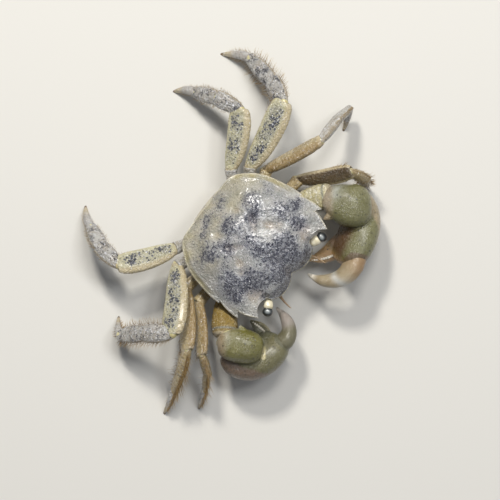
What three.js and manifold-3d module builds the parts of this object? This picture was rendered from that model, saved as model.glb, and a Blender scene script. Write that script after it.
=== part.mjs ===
// A shore crab standing on its eight walking legs, with both claws folded in front of its mouth.
// Millimetres. +Z is up, the crab faces -Y, and its own left side is +X.
// The crab is laid out with the middle of its back over the origin and the floor at z = 0,
// and at the end the whole group is moved so that its origin is the middle of the bottom of its box.
import * as THREE from 'three';
import { mergeVertices } from 'three/addons/utils/BufferGeometryUtils.js';
import Module from 'manifold-3d';

const wasm = await Module();
wasm.setup();

// Driving sizes of the body.
const carapaceWidth = 30;
const carapaceLength = 25;
const backTop = 18;
const rimHeight = 13.4;
const rearRimDrop = 1.1;
const bellyHeight = 8.2;
const bowlReach = 0.4;
const jointGap = 0.28;
const footPress = 0.22;
const floorBlock = { across: 160, thick: 10 };

// Facets around and along each kind of piece.
const facets = {
  around: 8, along: 6, rootAround: 7, rootAlong: 5,
  fineAround: 12, fineAlong: 8, handAlong: 10, tailAlong: 11,
};

// Half of the outline of the back, from the middle of the front to the middle of the rear:
// [distance from the midline, distance in front of the middle].
const backOutline = [
  [0, 11.5], [1.5, 12.35], [3.2, 12.9], [5.2, 12.75], [6.7, 12.05], [7.4, 11.4],
  [7.7, 10.3], [9.2, 10.05], [10.7, 10.3],
  [12.2, 11.5], [12.85, 10.2], [13.5, 9.0], [13.85, 7.05],
  [15, 8.0], [15.05, 6.4], [14.85, 4.2], [14.45, 2.5],
  [14.95, 2.7], [14.85, 0.6], [14.45, -2.2], [13.75, -5.2], [12.7, -7.7],
  [11.3, -9.6], [9.7, -11.3], [8.1, -12.1], [5, -12.3], [0, -12.35],
];
// The rings of the back, from its middle out over the top and then in again underneath:
// [how large the ring is, how many times its teeth have been rounded off].
const topRings = [[0, 9], [0.36, 9], [0.6, 7], [0.78, 5], [0.9, 3], [0.965, 1], [1, 0]];
const lowRings = [[0.9, 3], [0.76, 6], [0.6, 9], [0, 9]];
const ringCentre = 2;
// Swellings and hollows of the back: [from the midline, behind the middle, radius, height].
const backLobes = [
  [3.4, -6.6, 2.2, 0.45], [9.2, -4.2, 2.6, 0.3], [4.1, 2.7, 1.3, -0.5], [0, -9.4, 1.2, -0.35],
];

// The breastplate, and the tail folded under it from the rear of the back.
const breast = {
  front: [0, -8.4, 6.5],
  rear: [0, 10.4, 6.5],
  wide: [3.6, 6.6, 8.2, 8.6, 8.2, 6.8, 4.6],
  deep: [1.2, 1.4, 1.45, 1.45, 1.4, 1.3],
};
const tail = {
  path: [[0, 12.1, 10.6], [0, 12.3, 8.2], [0, 11.4, 5.5], [0, 8.6, 4.25], [0, 3, 4.15], [0, -3.4, 4.3]],
  wide: [4.4, 4.3, 3.7, 2.9, 2.3, 1.7, 1],
  deep: 0.42,
};

// The face. Paths are for the left side, and the right side mirrors all but the end of its eye.
const face = {
  eyeRoot: [7.5, -10.9, 11.9],
  eyeEnd: { left: [11, -12.1, 12.9], right: [-10.6, -12.9, 12.9] },
  eyeRadius: [0.75, 0.8, 0.95, 1.12, 1.12, 1.05],
  feelerPath: [[5.2, -10.9, 10.9], [5.5, -12.3, 10.5], [5.9, -13.7, 10], [6, -14.9, 8.9]],
  feelerRadius: [0.75, 0.6, 0.36, 0.3, 0.27, 0.26],
  platePath: [[1.95, -6.6, 4.6], [2.2, -9.9, 9.6]],
  plateWide: [1.2, 1.6, 1.75, 1.75, 1.5],
  plateDeep: 0.65,
};

// The walking legs, front to rear. Heights above the floor are at the joints, headings in degrees
// turn from +X towards +Y, and pitch is above the horizon. The last segment reaches the floor.
const legSizes = [
  { rank: 1, merus: 13.2, carpus: 5.6, propodus: 6.6, dactyl: 6.6, wide: 4.4, thick: 2.1 },
  { rank: 2, merus: 15.2, carpus: 6.2, propodus: 7.5, dactyl: 7.4, wide: 4.8, thick: 2.5 },
  { rank: 3, merus: 16.4, carpus: 6.4, propodus: 8.4, dactyl: 8.0, wide: 6.0, thick: 2.6 },
  { rank: 4, merus: 13.5, carpus: 5.9, propodus: 7.2, dactyl: 6.9, wide: 5.4, thick: 2.5 },
];
const legPoses = {
  left: [
    { hip: [16.9, 0.1, 7.1], merus: [-44, 26], carpus: [-80, -50], propodus: [-135, -80], dactyl: -150 },
    { hip: [14.3, 6.9, 7.8], merus: [-25, 25], carpus: [0, -22], propodus: [-8, -60], dactyl: -155 },
    { hip: [12.6, 9.9, 9.2], merus: [10, 11], carpus: [65, -36], propodus: [80, -30], dactyl: 118 },
    { hip: [9.7, 12.9, 9.4], merus: [28, 8], carpus: [100, -16], propodus: [111, -45], dactyl: 124 },
  ],
  right: [
    { hip: [-17.4, 1.0, 7.4], merus: [-138, 28], carpus: [-127, -42], propodus: [-151, -54], dactyl: -160 },
    { hip: [-16.6, 5.2, 7.2], merus: [-140, 26], carpus: [-159, -38], propodus: [-163, -50], dactyl: -166 },
    { hip: [-13.8, 9.6, 9.2], merus: [-146, 23], carpus: [127, -27], propodus: [132, -45], dactyl: 45 },
    { hip: [-11.0, 11.9, 9.3], merus: [144, 12], carpus: [82, -23], propodus: [66, -44], dactyl: 54 },
  ],
};
// Where each leg leaves the breastplate, front to rear: [out, back, up].
const coxaRoots = [[7.6, 0.6, 6.3], [7.6, 3.4, 6.5], [6.9, 6.2, 6.7], [5.6, 8.6, 6.9]];

// The claws. Each form has the places that its middle line follows; top is the way that the hand
// stands up, and the fingers meet at their tips.
const clawPoses = {
  left: {
    elbow: [18.9, -8.0, 11.2],
    carpus: [
      [18.3, -6.6, 10.8], [18.6, -9.2, 11.3], [19.2, -11.9, 11.6], [20.4, -14, 11.4], [22, -16, 10.8],
    ],
    carpusWide: [2.7, 3.8, 4.7, 4.8, 4.6],
    spur: [[16, -10.9, 12.8], [13.4, -9.8, 12.6]],
    palm: [[22.2, -10.8, 8.4], [22.8, -16.6, 7], [16.6, -18.1, 7.8], [8.2, -19, 8.6]],
    top: [0.11, -0.535, 0.838],
    fixedFinger: [[13.6, -16.4, 5.9], [8, -16.2, 4.8], [4.5, -12.6, 6.2]],
    dactyl: [[12.2, -20.2, 10.6], [6.8, -23.1, 12], [2.2, -19.5, 10.9], [2, -14.4, 7.9]],
    dactylWide: [2.7, 2.5, 2, 1.5, 0.5],
  },
  right: {
    elbow: [-20, -8.3, 11.3],
    carpus: [
      [-22.3, -8.5, 10.6], [-20.9, -10.1, 11.2], [-19.5, -12.1, 11.4],
      [-18.4, -14.4, 11.2], [-17.5, -16.1, 10.6],
    ],
    carpusWide: [2.8, 3.5, 3.8, 3.7, 3.3],
    spur: [[-16.9, -11.2, 13], [-16, -9.4, 13]],
    palm: [[-23, -10.8, 10], [-24.9, -16.8, 8.8], [-19.2, -17.8, 7.6], [-12.8, -17.3, 6.6]],
    top: [0.08, -0.565, 0.822],
    fixedFinger: [[-17, -15.4, 5.2], [-13.4, -15.2, 3.6], [-13.9, -10.6, 5.2]],
    dactyl: [[-14.8, -18.8, 9.4], [-10.8, -20.4, 10.3], [-8.6, -18.1, 9], [-8.1, -13.5, 5.9]],
    dactylWide: [2.3, 2.15, 1.75, 1.35, 0.45],
  },
};
const claw = {
  root: [6.2, -4.6, 6.5],
  shoulder: [12.9, -2.9, 7.8],
  carpusDeep: [2.8, 3.9, 4.5, 4.4, 3.6],
  carpusAcross: [0.793, 0.609, 0],
  upper: [1.2, 2.4, 4, 5.3, 5.9, 5.8],
  lower: [2.2, 4.2, 5.2, 5.3, 5.2, 4.6],
  palmThick: [2.2, 2.9, 3.5, 3.7, 3.6, 3.1],
  fixedWide: [2.5, 2.2, 1.8, 1.3, 0.5],
};

// Finishes.
const shell = (color, roughness) => new THREE.MeshStandardMaterial({ color, roughness, metalness: 0 });
const finishes = {
  back: shell(0xa9a99c, 0.35),
  belly: shell(0xd8d0b8, 0.45),
  leg: shell(0xb5ae94, 0.4),
  limbTip: shell(0xc9bd9c, 0.4),
  claw: shell(0x8c8c55, 0.25),
  clawArm: shell(0xb9a465, 0.35),
  finger: shell(0xd9ccb4, 0.25),
  eye: shell(0x3d443c, 0.1),
  mouth: shell(0x9c8f70, 0.45),
  feeler: shell(0x8a6f55, 0.5),
};

const up = new THREE.Vector3(0, 0, 1);
const point = (place) => new THREE.Vector3(...place);
const radians = THREE.MathUtils.degToRad;

function direction(heading, pitch) {
  const flat = Math.cos(radians(pitch));
  const turn = radians(heading);
  return new THREE.Vector3(flat * Math.cos(turn), flat * Math.sin(turn), Math.sin(radians(pitch)));
}

// Evenly spaced values read as one smooth curve, at s from 0 to 1.
function smoothValue(values, s) {
  const last = values.length - 1;
  const place = Math.min(Math.max(s, 0), 1) * last;
  const i = Math.min(Math.floor(place), last - 1);
  const t = place - i;
  const before = values[Math.max(i - 1, 0)];
  const after = values[Math.min(i + 2, last)];
  const slopeIn = (values[i + 1] - before) / 2;
  const slopeOut = (after - values[i]) / 2;
  const a = 2 * values[i] - 2 * values[i + 1] + slopeIn + slopeOut;
  const b = 3 * (values[i + 1] - values[i]) - 2 * slopeIn - slopeOut;
  return ((a * t + b) * t + slopeIn) * t + values[i];
}

function toSolid(geometry) {
  const bare = new THREE.BufferGeometry();
  bare.setAttribute('position', geometry.attributes.position);
  bare.setIndex(geometry.index);
  const merged = mergeVertices(bare, 1e-4);
  return new wasm.Manifold(new wasm.Mesh({
    numProp: 3,
    vertProperties: new Float32Array(merged.attributes.position.array),
    triVerts: new Uint32Array(merged.index.array),
  }));
}

// A closed limb-like form along a curve. `side` says which way its width lies, `wide` and `deep`
// are its half sizes along s, `lift` moves it along its width, `blunt` squares its ends and
// `square` its section. `grow` makes it larger all round.
function limb(form, grow = 0) {
  const { spine, side, wide, deep, lift = () => 0, blunt = 5, square = 2.2 } = form;
  const around = form.around ?? facets.around;
  const along = form.along ?? facets.along;
  const geometry = new THREE.SphereGeometry(1, around, along);
  const place = geometry.attributes.position;
  const section = (value) => Math.sign(value) * Math.abs(value) ** (2 / square);
  for (let i = 0; i < place.count; i += 1) {
    const s = (1 - place.getY(i)) / 2;
    const angle = Math.atan2(place.getZ(i), place.getX(i));
    const run = spine.getTangent(s);
    const across = side.clone().addScaledVector(run, -side.dot(run)).normalize();
    const normal = new THREE.Vector3().crossVectors(run, across);
    const end = (1 - Math.abs(2 * s - 1) ** blunt) ** (1 / blunt);
    const centre = spine.getPoint(s);
    centre.addScaledVector(run, grow * (2 * s - 1));
    centre.addScaledVector(across, lift(s) + section(Math.cos(angle)) * end * (wide(s) + grow));
    centre.addScaledVector(normal, section(Math.sin(angle)) * end * (deep(s) + grow));
    place.setXYZ(i, centre.x, centre.y, centre.z);
  }
  return toSolid(geometry);
}

const scaled = (values, size) => (s) => smoothValue(values, s) * size;

// Every piece of the crab before it is fitted to its neighbours: name, solid, a slightly larger
// copy that neighbours are cut by, finish, joint and the names of what cuts it.
const pieces = new Map();

function addPiece(name, finish, joint, forms, cutBy = []) {
  const join = (grow) => forms.map((form) => limb(form, grow)).reduce((a, b) => a.add(b));
  pieces.set(name, { solid: join(0), larger: join(jointGap), finish, joint: point(joint), cutBy });
}

// The back: rings of the outline shrink towards the middle, over a domed top and a bowl underneath.
function rimAt(y) {
  return rimHeight - rearRimDrop * THREE.MathUtils.smoothstep(y, 0, carapaceLength / 2);
}

function backHeight(x, y) {
  const u = Math.min(Math.abs(x) / (carapaceWidth / 2), 1);
  const v = Math.min(Math.abs(y) / (carapaceLength / 2), 1);
  const dome = (1 - u ** 2.6) * (1 - v ** 2.6);
  const mound = ([out, back, radius, height]) => (
    height * Math.exp(-((Math.abs(x) - out) ** 2 + (y - back) ** 2) / radius ** 2)
  );
  const lobes = backLobes.map(mound).reduce((a, b) => a + b);
  return rimAt(y) + (backTop - rimHeight) * dome + lobes * Math.min(1, 3 * dome);
}

function rounded(ring, passes) {
  let places = ring;
  for (let pass = 0; pass < passes; pass += 1) {
    const last = places;
    places = last.map(([x, y], i) => {
      const [beforeX, beforeY] = last.at(i - 1);
      const [afterX, afterY] = last[(i + 1) % last.length];
      return [(beforeX + 2 * x + afterX) / 4, (beforeY + 2 * y + afterY) / 4];
    });
  }
  return places;
}

function carapace() {
  const half = backOutline.map(([x, forward]) => [x, -forward]);
  const rightSide = half.slice(1).reverse().map(([x, y]) => [-x, y]);
  const ring = [...rightSide, ...half.slice(0, -1)];
  const sizes = [...topRings, ...lowRings];
  const rings = sizes.map(([size, passes]) => ({ size, places: rounded(ring, passes) }));
  const levels = rings.length - 1;
  const geometry = new THREE.SphereGeometry(1, ring.length, levels);
  const place = geometry.attributes.position;
  const map = geometry.attributes.uv;
  for (let i = 0; i < place.count; i += 1) {
    const step = Math.round(map.getX(i) * ring.length) + ring.length;
    const level = Math.round((1 - map.getY(i)) * levels);
    const { size, places } = rings[level];
    const [outX, outY] = places[step % ring.length];
    const x = outX * size;
    const y = ringCentre + (outY - ringCentre) * size;
    const inward = Math.min(1, (1 - size) / bowlReach);
    const bowl = rimAt(outY) - (rimAt(outY) - bellyHeight) * Math.sin(inward * Math.PI / 2);
    place.setXYZ(i, x, y, level < topRings.length ? backHeight(x, y) : bowl);
  }
  return toSolid(geometry);
}

function addBody() {
  const bases = [...pieces.keys()].filter((name) => name.endsWith('_base') || name.endsWith('_merus'));
  const mouth = ['maxilliped_left', 'maxilliped_right'];
  const front = [...mouth, 'antenna_left', 'antenna_right', 'eye_left', 'eye_right'];
  pieces.set('carapace', {
    solid: carapace(),
    finish: finishes.back,
    joint: point([0, 0, rimHeight]),
    cutBy: [...bases, ...front],
  });
  const breastForm = {
    spine: new THREE.LineCurve3(point(breast.front), point(breast.rear)),
    side: new THREE.Vector3(1, 0, 0),
    wide: scaled(breast.wide, 1),
    deep: scaled(breast.deep, 1),
    square: 3,
    around: facets.fineAround,
    along: facets.fineAlong,
  };
  addPiece('thorax', finishes.belly, [0, 0, 6.5], [breastForm], [...bases, ...mouth]);
}

function addAbdomen() {
  const form = {
    spine: new THREE.CatmullRomCurve3(tail.path.map(point)),
    side: new THREE.Vector3(1, 0, 0),
    wide: scaled(tail.wide, 1),
    deep: () => tail.deep,
    square: 2.6,
    along: facets.tailAlong,
  };
  addPiece('abdomen', finishes.belly, tail.path[0], [form]);
}

// Eyes on short stalks, feelers and the pair of mouth plates.
function addFace(side, sign) {
  const mirrored = ([x, y, z]) => [x * sign, y, z];
  const eyeRoot = mirrored(face.eyeRoot);
  const eye = {
    spine: new THREE.LineCurve3(point(eyeRoot), point(face.eyeEnd[side])),
    side: up,
    wide: scaled(face.eyeRadius, 1),
    deep: scaled(face.eyeRadius, 1),
    blunt: 2.6,
    along: 8,
  };
  addPiece(`eye_${side}`, finishes.eye, eyeRoot, [eye]);
  const feelerPath = face.feelerPath.map(mirrored);
  const feeler = {
    spine: new THREE.CatmullRomCurve3(feelerPath.map(point)),
    side: up,
    wide: scaled(face.feelerRadius, 1),
    deep: scaled(face.feelerRadius, 1),
    around: 6,
  };
  addPiece(`antenna_${side}`, finishes.feeler, feelerPath[0], [feeler], [`eye_${side}`]);
  const platePath = face.platePath.map(mirrored);
  const plate = {
    spine: new THREE.LineCurve3(...platePath.map(point)),
    side: new THREE.Vector3(1, 0, 0),
    wide: scaled(face.plateWide, 1),
    deep: () => face.plateDeep,
    square: 2.8,
  };
  addPiece(`maxilliped_${side}`, finishes.mouth, platePath[1], [plate]);
}

// A walking leg: base, merus, carpus, propodus and dactyl, each ending in the socket of the next.
function addLeg(side, sign, index) {
  const size = legSizes[index];
  const pose = legPoses[side][index];
  const hip = point(pose.hip);
  const meetings = [hip];
  const runs = [direction(...pose.merus), direction(...pose.carpus), direction(...pose.propodus)];
  const lengths = [size.merus, size.carpus, size.propodus];
  runs.forEach((run, i) => meetings.push(meetings[i].clone().addScaledVector(run, lengths[i])));
  const drop = THREE.MathUtils.radToDeg(Math.asin((meetings[3].z + footPress) / size.dactyl));
  runs.push(direction(pose.dactyl, -drop));
  meetings.push(meetings[3].clone().addScaledVector(runs[3], size.dactyl));

  // The broad faces look along the normal of the plane that the leg bends in, turned part way up.
  const plane = new THREE.Vector3().crossVectors(
    meetings[1].clone().sub(hip),
    meetings[4].clone().sub(hip),
  ).normalize();
  if (plane.y + plane.z < 0) plane.negate();
  const edge = (run, lean) => {
    const face = plane.clone().lerp(up, lean);
    return run.clone().cross(face).multiplyScalar(sign).normalize();
  };
  const parts = ['merus', 'carpus', 'propodus', 'dactyl'];
  const names = parts.map((part) => `leg_${side}_${size.rank}_${part}`);
  const stretch = (i, before, after) => new THREE.LineCurve3(
    meetings[i].clone().addScaledVector(runs[i], -before),
    meetings[i + 1].clone().addScaledVector(runs[i], after),
  );
  const wide = size.wide / 2;
  const thick = size.thick / 2;
  const coxa = coxaRoots[index];
  const root = point([coxa[0] * sign, coxa[1], coxa[2]]);
  const base = {
    spine: new THREE.LineCurve3(root, hip.clone().addScaledVector(runs[0], 0.7)),
    side: up,
    wide: scaled([1.35, 1.5, 1.35, 1.3, 1.4], 1),
    deep: scaled([1.6, 1.5, 1.3, 1.3, 1.4], 1),
    around: facets.rootAround,
    along: facets.rootAlong,
  };
  const merus = {
    spine: stretch(0, 0.6, 0.7),
    side: edge(runs[0], 0.35),
    wide: scaled([0.52, 0.8, 0.95, 1, 0.92], wide),
    deep: scaled([0.85, 0.95, 1, 0.98, 0.9], thick),
    lift: (s) => 0.5 * Math.sin(Math.PI * s),
  };
  const carpus = {
    spine: stretch(1, 0.7, 0.7),
    side: edge(runs[1], 0.15),
    wide: scaled([0.42, 0.57, 0.68, 0.72, 0.7], wide),
    deep: scaled([0.65, 0.82, 0.92, 0.9, 0.84], thick),
  };
  const propodus = {
    spine: stretch(2, 0.7, 0.5),
    side: edge(runs[2], 0.1),
    wide: scaled([0.52, 0.64, 0.66, 0.59, 0.5], wide),
    deep: scaled([0.62, 0.78, 0.8, 0.71, 0.58], thick),
  };
  const dactyl = {
    spine: stretch(3, 0.5, 0),
    side: edge(runs[3], 0.05),
    wide: scaled([1.08, 0.98, 0.8, 0.6, 0.42], 1),
    deep: scaled([0.85, 0.8, 0.68, 0.54, 0.4], 1),
    lift: (s) => 0.35 * Math.sin(Math.PI * s),
    blunt: 7,
  };
  const nextBase = index + 1 < legSizes.length ? [`leg_${side}_${size.rank + 1}_base`] : [];
  const baseName = `leg_${side}_${size.rank}_base`;
  addPiece(baseName, finishes.limbTip, root.toArray(), [base], [names[0], ...nextBase]);
  addPiece(names[0], finishes.leg, hip.toArray(), [merus], [names[1]]);
  addPiece(names[1], finishes.leg, meetings[1].toArray(), [carpus], [names[2]]);
  addPiece(names[2], finishes.leg, meetings[2].toArray(), [propodus], [names[3]]);
  addPiece(names[3], finishes.limbTip, meetings[3].toArray(), [dactyl], ['floor']);
}

// A claw limb: base, merus, carpus, palm with its fixed finger, and the movable finger.
function addClaw(side, sign) {
  const pose = clawPoses[side];
  const mirrored = ([x, y, z]) => point([x * sign, y, z]);
  const root = mirrored(claw.root);
  const shoulder = mirrored(claw.shoulder);
  const elbow = point(pose.elbow);
  const top = point(pose.top);
  const base = {
    spine: new THREE.LineCurve3(root, shoulder.clone().add(mirrored([0.6, -0.4, 0.3]))),
    side: up,
    wide: scaled([1.5, 1.8, 1.7, 1.7], 1),
    deep: scaled([2, 2, 1.8, 1.8], 1),
  };
  const merus = {
    spine: new THREE.LineCurve3(shoulder, elbow),
    side: new THREE.Vector3(0.64 * sign, 0.77, 0),
    wide: scaled([1.7, 2.3, 2.7, 2.9, 2.7], 1),
    deep: scaled([1.6, 2.1, 2.4, 2.6, 2.4], 1),
    along: 8,
  };
  const carpus = {
    spine: new THREE.CatmullRomCurve3(pose.carpus.map(point)),
    side: point(claw.carpusAcross),
    wide: scaled(pose.carpusWide, 1),
    deep: scaled(claw.carpusDeep, 1),
    blunt: 3.4,
    square: 2.5,
    around: facets.fineAround,
    along: facets.fineAlong,
  };
  const spur = {
    spine: new THREE.LineCurve3(...pose.spur.map(point)),
    side: up,
    wide: scaled([1.2, 1, 0.7, 0.3], 1),
    deep: scaled([1.2, 1, 0.7, 0.3], 1),
    around: 6,
    along: 4,
  };
  const palm = {
    spine: new THREE.CubicBezierCurve3(...pose.palm.map(point)),
    side: top,
    wide: (s) => (smoothValue(claw.upper, s) + smoothValue(claw.lower, s)) / 2,
    lift: (s) => (smoothValue(claw.upper, s) - smoothValue(claw.lower, s)) / 2,
    deep: scaled(claw.palmThick, 1),
    blunt: 4.6,
    around: facets.fineAround,
    along: facets.handAlong,
  };
  const fixedFinger = {
    spine: new THREE.QuadraticBezierCurve3(...pose.fixedFinger.map(point)),
    side: top,
    wide: scaled(claw.fixedWide, 1),
    deep: scaled(claw.fixedWide, 0.8),
    along: 8,
  };
  const dactyl = {
    spine: new THREE.CubicBezierCurve3(...pose.dactyl.map(point)),
    side: top,
    wide: scaled(pose.dactylWide, 1),
    deep: scaled(pose.dactylWide, 0.85),
    around: 10,
    along: 9,
  };
  const name = (part) => `claw_${side}_${part}`;
  addPiece(name('base'), finishes.clawArm, root.toArray(), [base], [name('merus'), `leg_${side}_1_base`]);
  addPiece(name('merus'), finishes.clawArm, shoulder.toArray(), [merus], [name('carpus'), name('palm')]);
  addPiece(name('carpus'), finishes.claw, elbow.toArray(), [carpus, spur]);
  addPiece(name('palm'), finishes.claw, pose.palm[0], [palm, fixedFinger], [name('carpus'), name('dactyl')]);
  addPiece(name('dactyl'), finishes.finger, pose.dactyl[0], [dactyl]);
}

for (const [side, sign] of [['left', 1], ['right', -1]]) {
  addFace(side, sign);
  addClaw(side, sign);
  legSizes.forEach((size, index) => addLeg(side, sign, index));
}
addAbdomen();
addBody();

// The floor cuts a small flat on the tip of each walking leg.
const floor = new THREE.BoxGeometry(floorBlock.across, floorBlock.across, floorBlock.thick);
floor.translate(0, 0, -floorBlock.thick / 2);
pieces.set('floor', { larger: toSolid(floor) });

// Each piece becomes a mesh whose own origin is its joint.
const crab = new THREE.Group();
for (const [name, piece] of pieces) {
  if (!piece.solid) continue;
  const cutters = piece.cutBy.map((cutter) => pieces.get(cutter).larger);
  const fitted = cutters.reduce((solid, cutter) => solid.subtract(cutter), piece.solid);
  const { vertProperties, triVerts } = fitted.getMesh();
  const geometry = new THREE.BufferGeometry();
  geometry.setAttribute('position', new THREE.BufferAttribute(new Float32Array(vertProperties), 3));
  geometry.setIndex(new THREE.BufferAttribute(new Uint32Array(triVerts), 1));
  geometry.translate(-piece.joint.x, -piece.joint.y, -piece.joint.z);
  geometry.computeVertexNormals();
  const mesh = new THREE.Mesh(geometry, piece.finish);
  mesh.name = name;
  mesh.position.copy(piece.joint);
  crab.add(mesh);
}

const box = new THREE.Box3().setFromObject(crab);
const middle = box.getCenter(new THREE.Vector3());
crab.position.set(-middle.x, -middle.y, -box.min.z);

const model = new THREE.Group();
model.add(crab);
export default model;
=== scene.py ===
import math
import bpy
import numpy as np
from mathutils import Matrix, Vector, noise


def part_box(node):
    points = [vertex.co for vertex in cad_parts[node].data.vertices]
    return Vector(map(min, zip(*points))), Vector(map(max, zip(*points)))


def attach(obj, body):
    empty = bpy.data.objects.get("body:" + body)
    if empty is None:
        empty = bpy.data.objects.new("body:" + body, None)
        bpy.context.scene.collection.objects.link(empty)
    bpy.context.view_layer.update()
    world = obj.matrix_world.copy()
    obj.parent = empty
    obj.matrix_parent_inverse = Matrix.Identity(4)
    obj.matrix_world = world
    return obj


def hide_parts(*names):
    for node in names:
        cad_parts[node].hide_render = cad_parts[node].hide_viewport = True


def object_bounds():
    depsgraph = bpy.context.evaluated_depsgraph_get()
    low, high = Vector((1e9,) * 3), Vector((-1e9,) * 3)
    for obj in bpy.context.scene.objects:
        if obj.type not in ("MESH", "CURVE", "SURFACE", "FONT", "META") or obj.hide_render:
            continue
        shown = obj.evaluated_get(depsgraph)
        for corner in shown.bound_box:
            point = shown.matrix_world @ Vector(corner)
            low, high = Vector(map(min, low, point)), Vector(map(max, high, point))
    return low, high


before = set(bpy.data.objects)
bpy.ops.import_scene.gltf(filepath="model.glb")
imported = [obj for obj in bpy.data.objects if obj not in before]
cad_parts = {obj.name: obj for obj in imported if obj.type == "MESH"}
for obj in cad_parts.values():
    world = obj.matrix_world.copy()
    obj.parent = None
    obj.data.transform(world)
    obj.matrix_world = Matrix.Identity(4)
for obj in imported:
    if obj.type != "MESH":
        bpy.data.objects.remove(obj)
cadLow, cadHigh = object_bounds()

# Shapes are worked out in millimetres round the middle of the back, with the floor at height 0.
mm = 0.001
frontReach = 12.9  # how far the front lobes stand ahead of the middle of the back
backLow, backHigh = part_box("carapace")
crabOrigin = np.array([(backLow.x + backHigh.x) / 2, backLow.y + frontReach * mm, 0.0])
up = np.array([0.0, 0.0, 1.0])
sides = [("left", 1), ("right", -1)]


def unit(v):
    v = np.asarray(v, float)
    return v / np.maximum(np.linalg.norm(v, axis=-1, keepdims=True), 1e-12)


def ease(low, high, x):
    t = np.clip((np.asarray(x, float) - low) / (high - low), 0, 1)
    return t * t * (3 - 2 * t)


def hill(x, centre, width):
    return np.exp(-((x - centre) / width) ** 2)


def heading(turn, pitch):
    turn, pitch = math.radians(turn), math.radians(pitch)
    return np.array([math.cos(pitch) * math.cos(turn), math.cos(pitch) * math.sin(turn), math.sin(pitch)])


def throughValues(values, s):
    # evenly spaced values, or points, read as one smooth curve
    values = np.asarray(values, float)
    last = len(values) - 1
    place = np.clip(s, 0, 1) * last
    i = np.minimum(place.astype(int), last - 1)
    t = place - i
    before, here = values[np.maximum(i - 1, 0)], values[i]
    there, after = values[i + 1], values[np.minimum(i + 2, last)]
    if values.ndim > 1:
        t = t[:, None]
    slopeIn, slopeOut = (there - before) / 2, (after - here) / 2
    a = 2 * here - 2 * there + slopeIn + slopeOut
    b = 3 * (there - here) - 2 * slopeIn - slopeOut
    return ((a * t + b) * t + slopeIn) * t + here


def bezierPoint(points, s):
    level = [np.asarray(p, float)[None, :] + np.zeros((len(s), 1)) for p in points]
    while len(level) > 1:
        level = [a + (b - a) * s[:, None] for a, b in zip(level, level[1:])]
    return level[0]


def roughness(points, scale, seed=0.0):
    # smooth noise from -1 to 1 at each point
    shifted = np.asarray(points) * scale + seed
    return np.array([noise.noise(Vector(p)) for p in shifted])


# A shape is a dictionary of points, faces and values painted on the points.

def loftFaces(rows, columns):
    # quads between rings of points, and triangles to the two points that close them
    index = 1 + np.arange(rows * columns).reshape(rows, columns)
    turned = np.roll(index, -1, axis=1)
    quads = np.stack([index[:-1], index[1:], turned[1:], turned[:-1]], -1).reshape(-1, 4)
    first = np.stack([np.zeros(columns, int), index[0], turned[0]], -1)
    last = np.stack([np.full(columns, rows * columns + 1), turned[-1], index[-1]], -1)
    return quads, np.concatenate([first, last])


def facingOut(shape):
    # turns all faces round where they face inward
    points, quads, tris = shape["points"], shape["quads"], shape["tris"]
    every = np.concatenate([quads[:, [0, 1, 2]], quads[:, [0, 2, 3]], tris])
    a, b, c = (points[every[:, k]] for k in range(3))
    if np.einsum("ij,ij->i", a, np.cross(b, c)).sum() < 0:
        shape["quads"], shape["tris"] = quads[:, ::-1], tris[:, ::-1]
    return shape


def joined(shapes):
    starts = np.cumsum([0] + [len(shape["points"]) for shape in shapes])
    keys = sorted({key for shape in shapes for key in shape["values"]})

    def shifted(kind):
        return np.concatenate([shape[kind] + start for shape, start in zip(shapes, starts)])

    def gathered(key):
        return np.concatenate([shape["values"].get(key, np.zeros(len(shape["points"]))) for shape in shapes])

    return {
        "points": np.concatenate([shape["points"] for shape in shapes]), "quads": shifted("quads"),
        "tris": shifted("tris"), "values": {key: gathered(key) for key in keys},
    }


def insideBox(places):
    # no skin or bristle reaches past the solid crab's own box
    inset = 0.001 * mm
    return np.clip(places, np.array(cadLow) + [inset, inset, 0], np.array(cadHigh) - inset)


def linked(name, data):
    made = bpy.data.objects.new(name, data)
    bpy.context.scene.collection.objects.link(made)
    return made


def declare(piece, slot, *nodes):
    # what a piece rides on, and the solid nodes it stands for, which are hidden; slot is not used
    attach(piece, "root")
    if nodes:
        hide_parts(*nodes)


def paintPoints(mesh, key, kind, field, values):
    layer = mesh.attributes.new(key, kind, "POINT")
    layer.data.foreach_set(field, np.asarray(values, np.float32).ravel())


def addPiece(name, shape, material, slot, *nodes):
    mesh = bpy.data.meshes.new(name)
    faces = shape["quads"].tolist() + shape["tris"].tolist()
    mesh.from_pydata(insideBox(shape["points"] * mm + crabOrigin).tolist(), [], faces)
    mesh.update()
    mesh.shade_smooth()
    for key, value in shape["values"].items():
        paintPoints(mesh, key, "FLOAT", "value", value)
    mesh.materials.append(materials[material])
    declare(linked(name, mesh), slot, *nodes)


# A limb is a closed form along a path. s runs from its root to its tip and turn goes round it:
# turn 0 is the edge that "side" points to, and a quarter turn is one of its broad faces.

def limbFrame(form, s):
    curve = throughValues if form.get("smooth") else bezierPoint
    centre = curve(form["path"], s)
    run = unit(curve(form["path"], s + pathStep) - curve(form["path"], s - pathStep))
    side = np.asarray(form["side"], float)
    side = unit(side - run * (run @ side)[:, None])
    return centre, run, side, np.cross(run, side)


def limbSurface(form, s, turn, size):
    centre, run, side, face = limbFrame(form, s)
    power = 2 / form.get("square", 2.2)
    c, d = np.cos(turn), np.sin(turn)
    relief = form["relief"](s, turn) if "relief" in form else 0.0
    across = np.sign(c) * np.abs(c) ** power * size * (throughValues(form["wide"], s) + relief)
    out = np.sign(d) * np.abs(d) ** power * size * (throughValues(form["deep"], s) + relief)
    lift = throughValues(form["lift"], s) if "lift" in form else np.zeros(len(s))
    return centre + side * (across + lift)[:, None] + face * out[:, None]


# the hollow end of a segment: depths and sizes of its rings, and where the lip starts to draw in
cup = {"depths": np.array([0.0, 0.35, 0.8]), "sizes": np.array([0.9, 0.82, 0.6]), "from": 0.84, "power": 2.4}
pathStep = 1e-3


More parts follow.
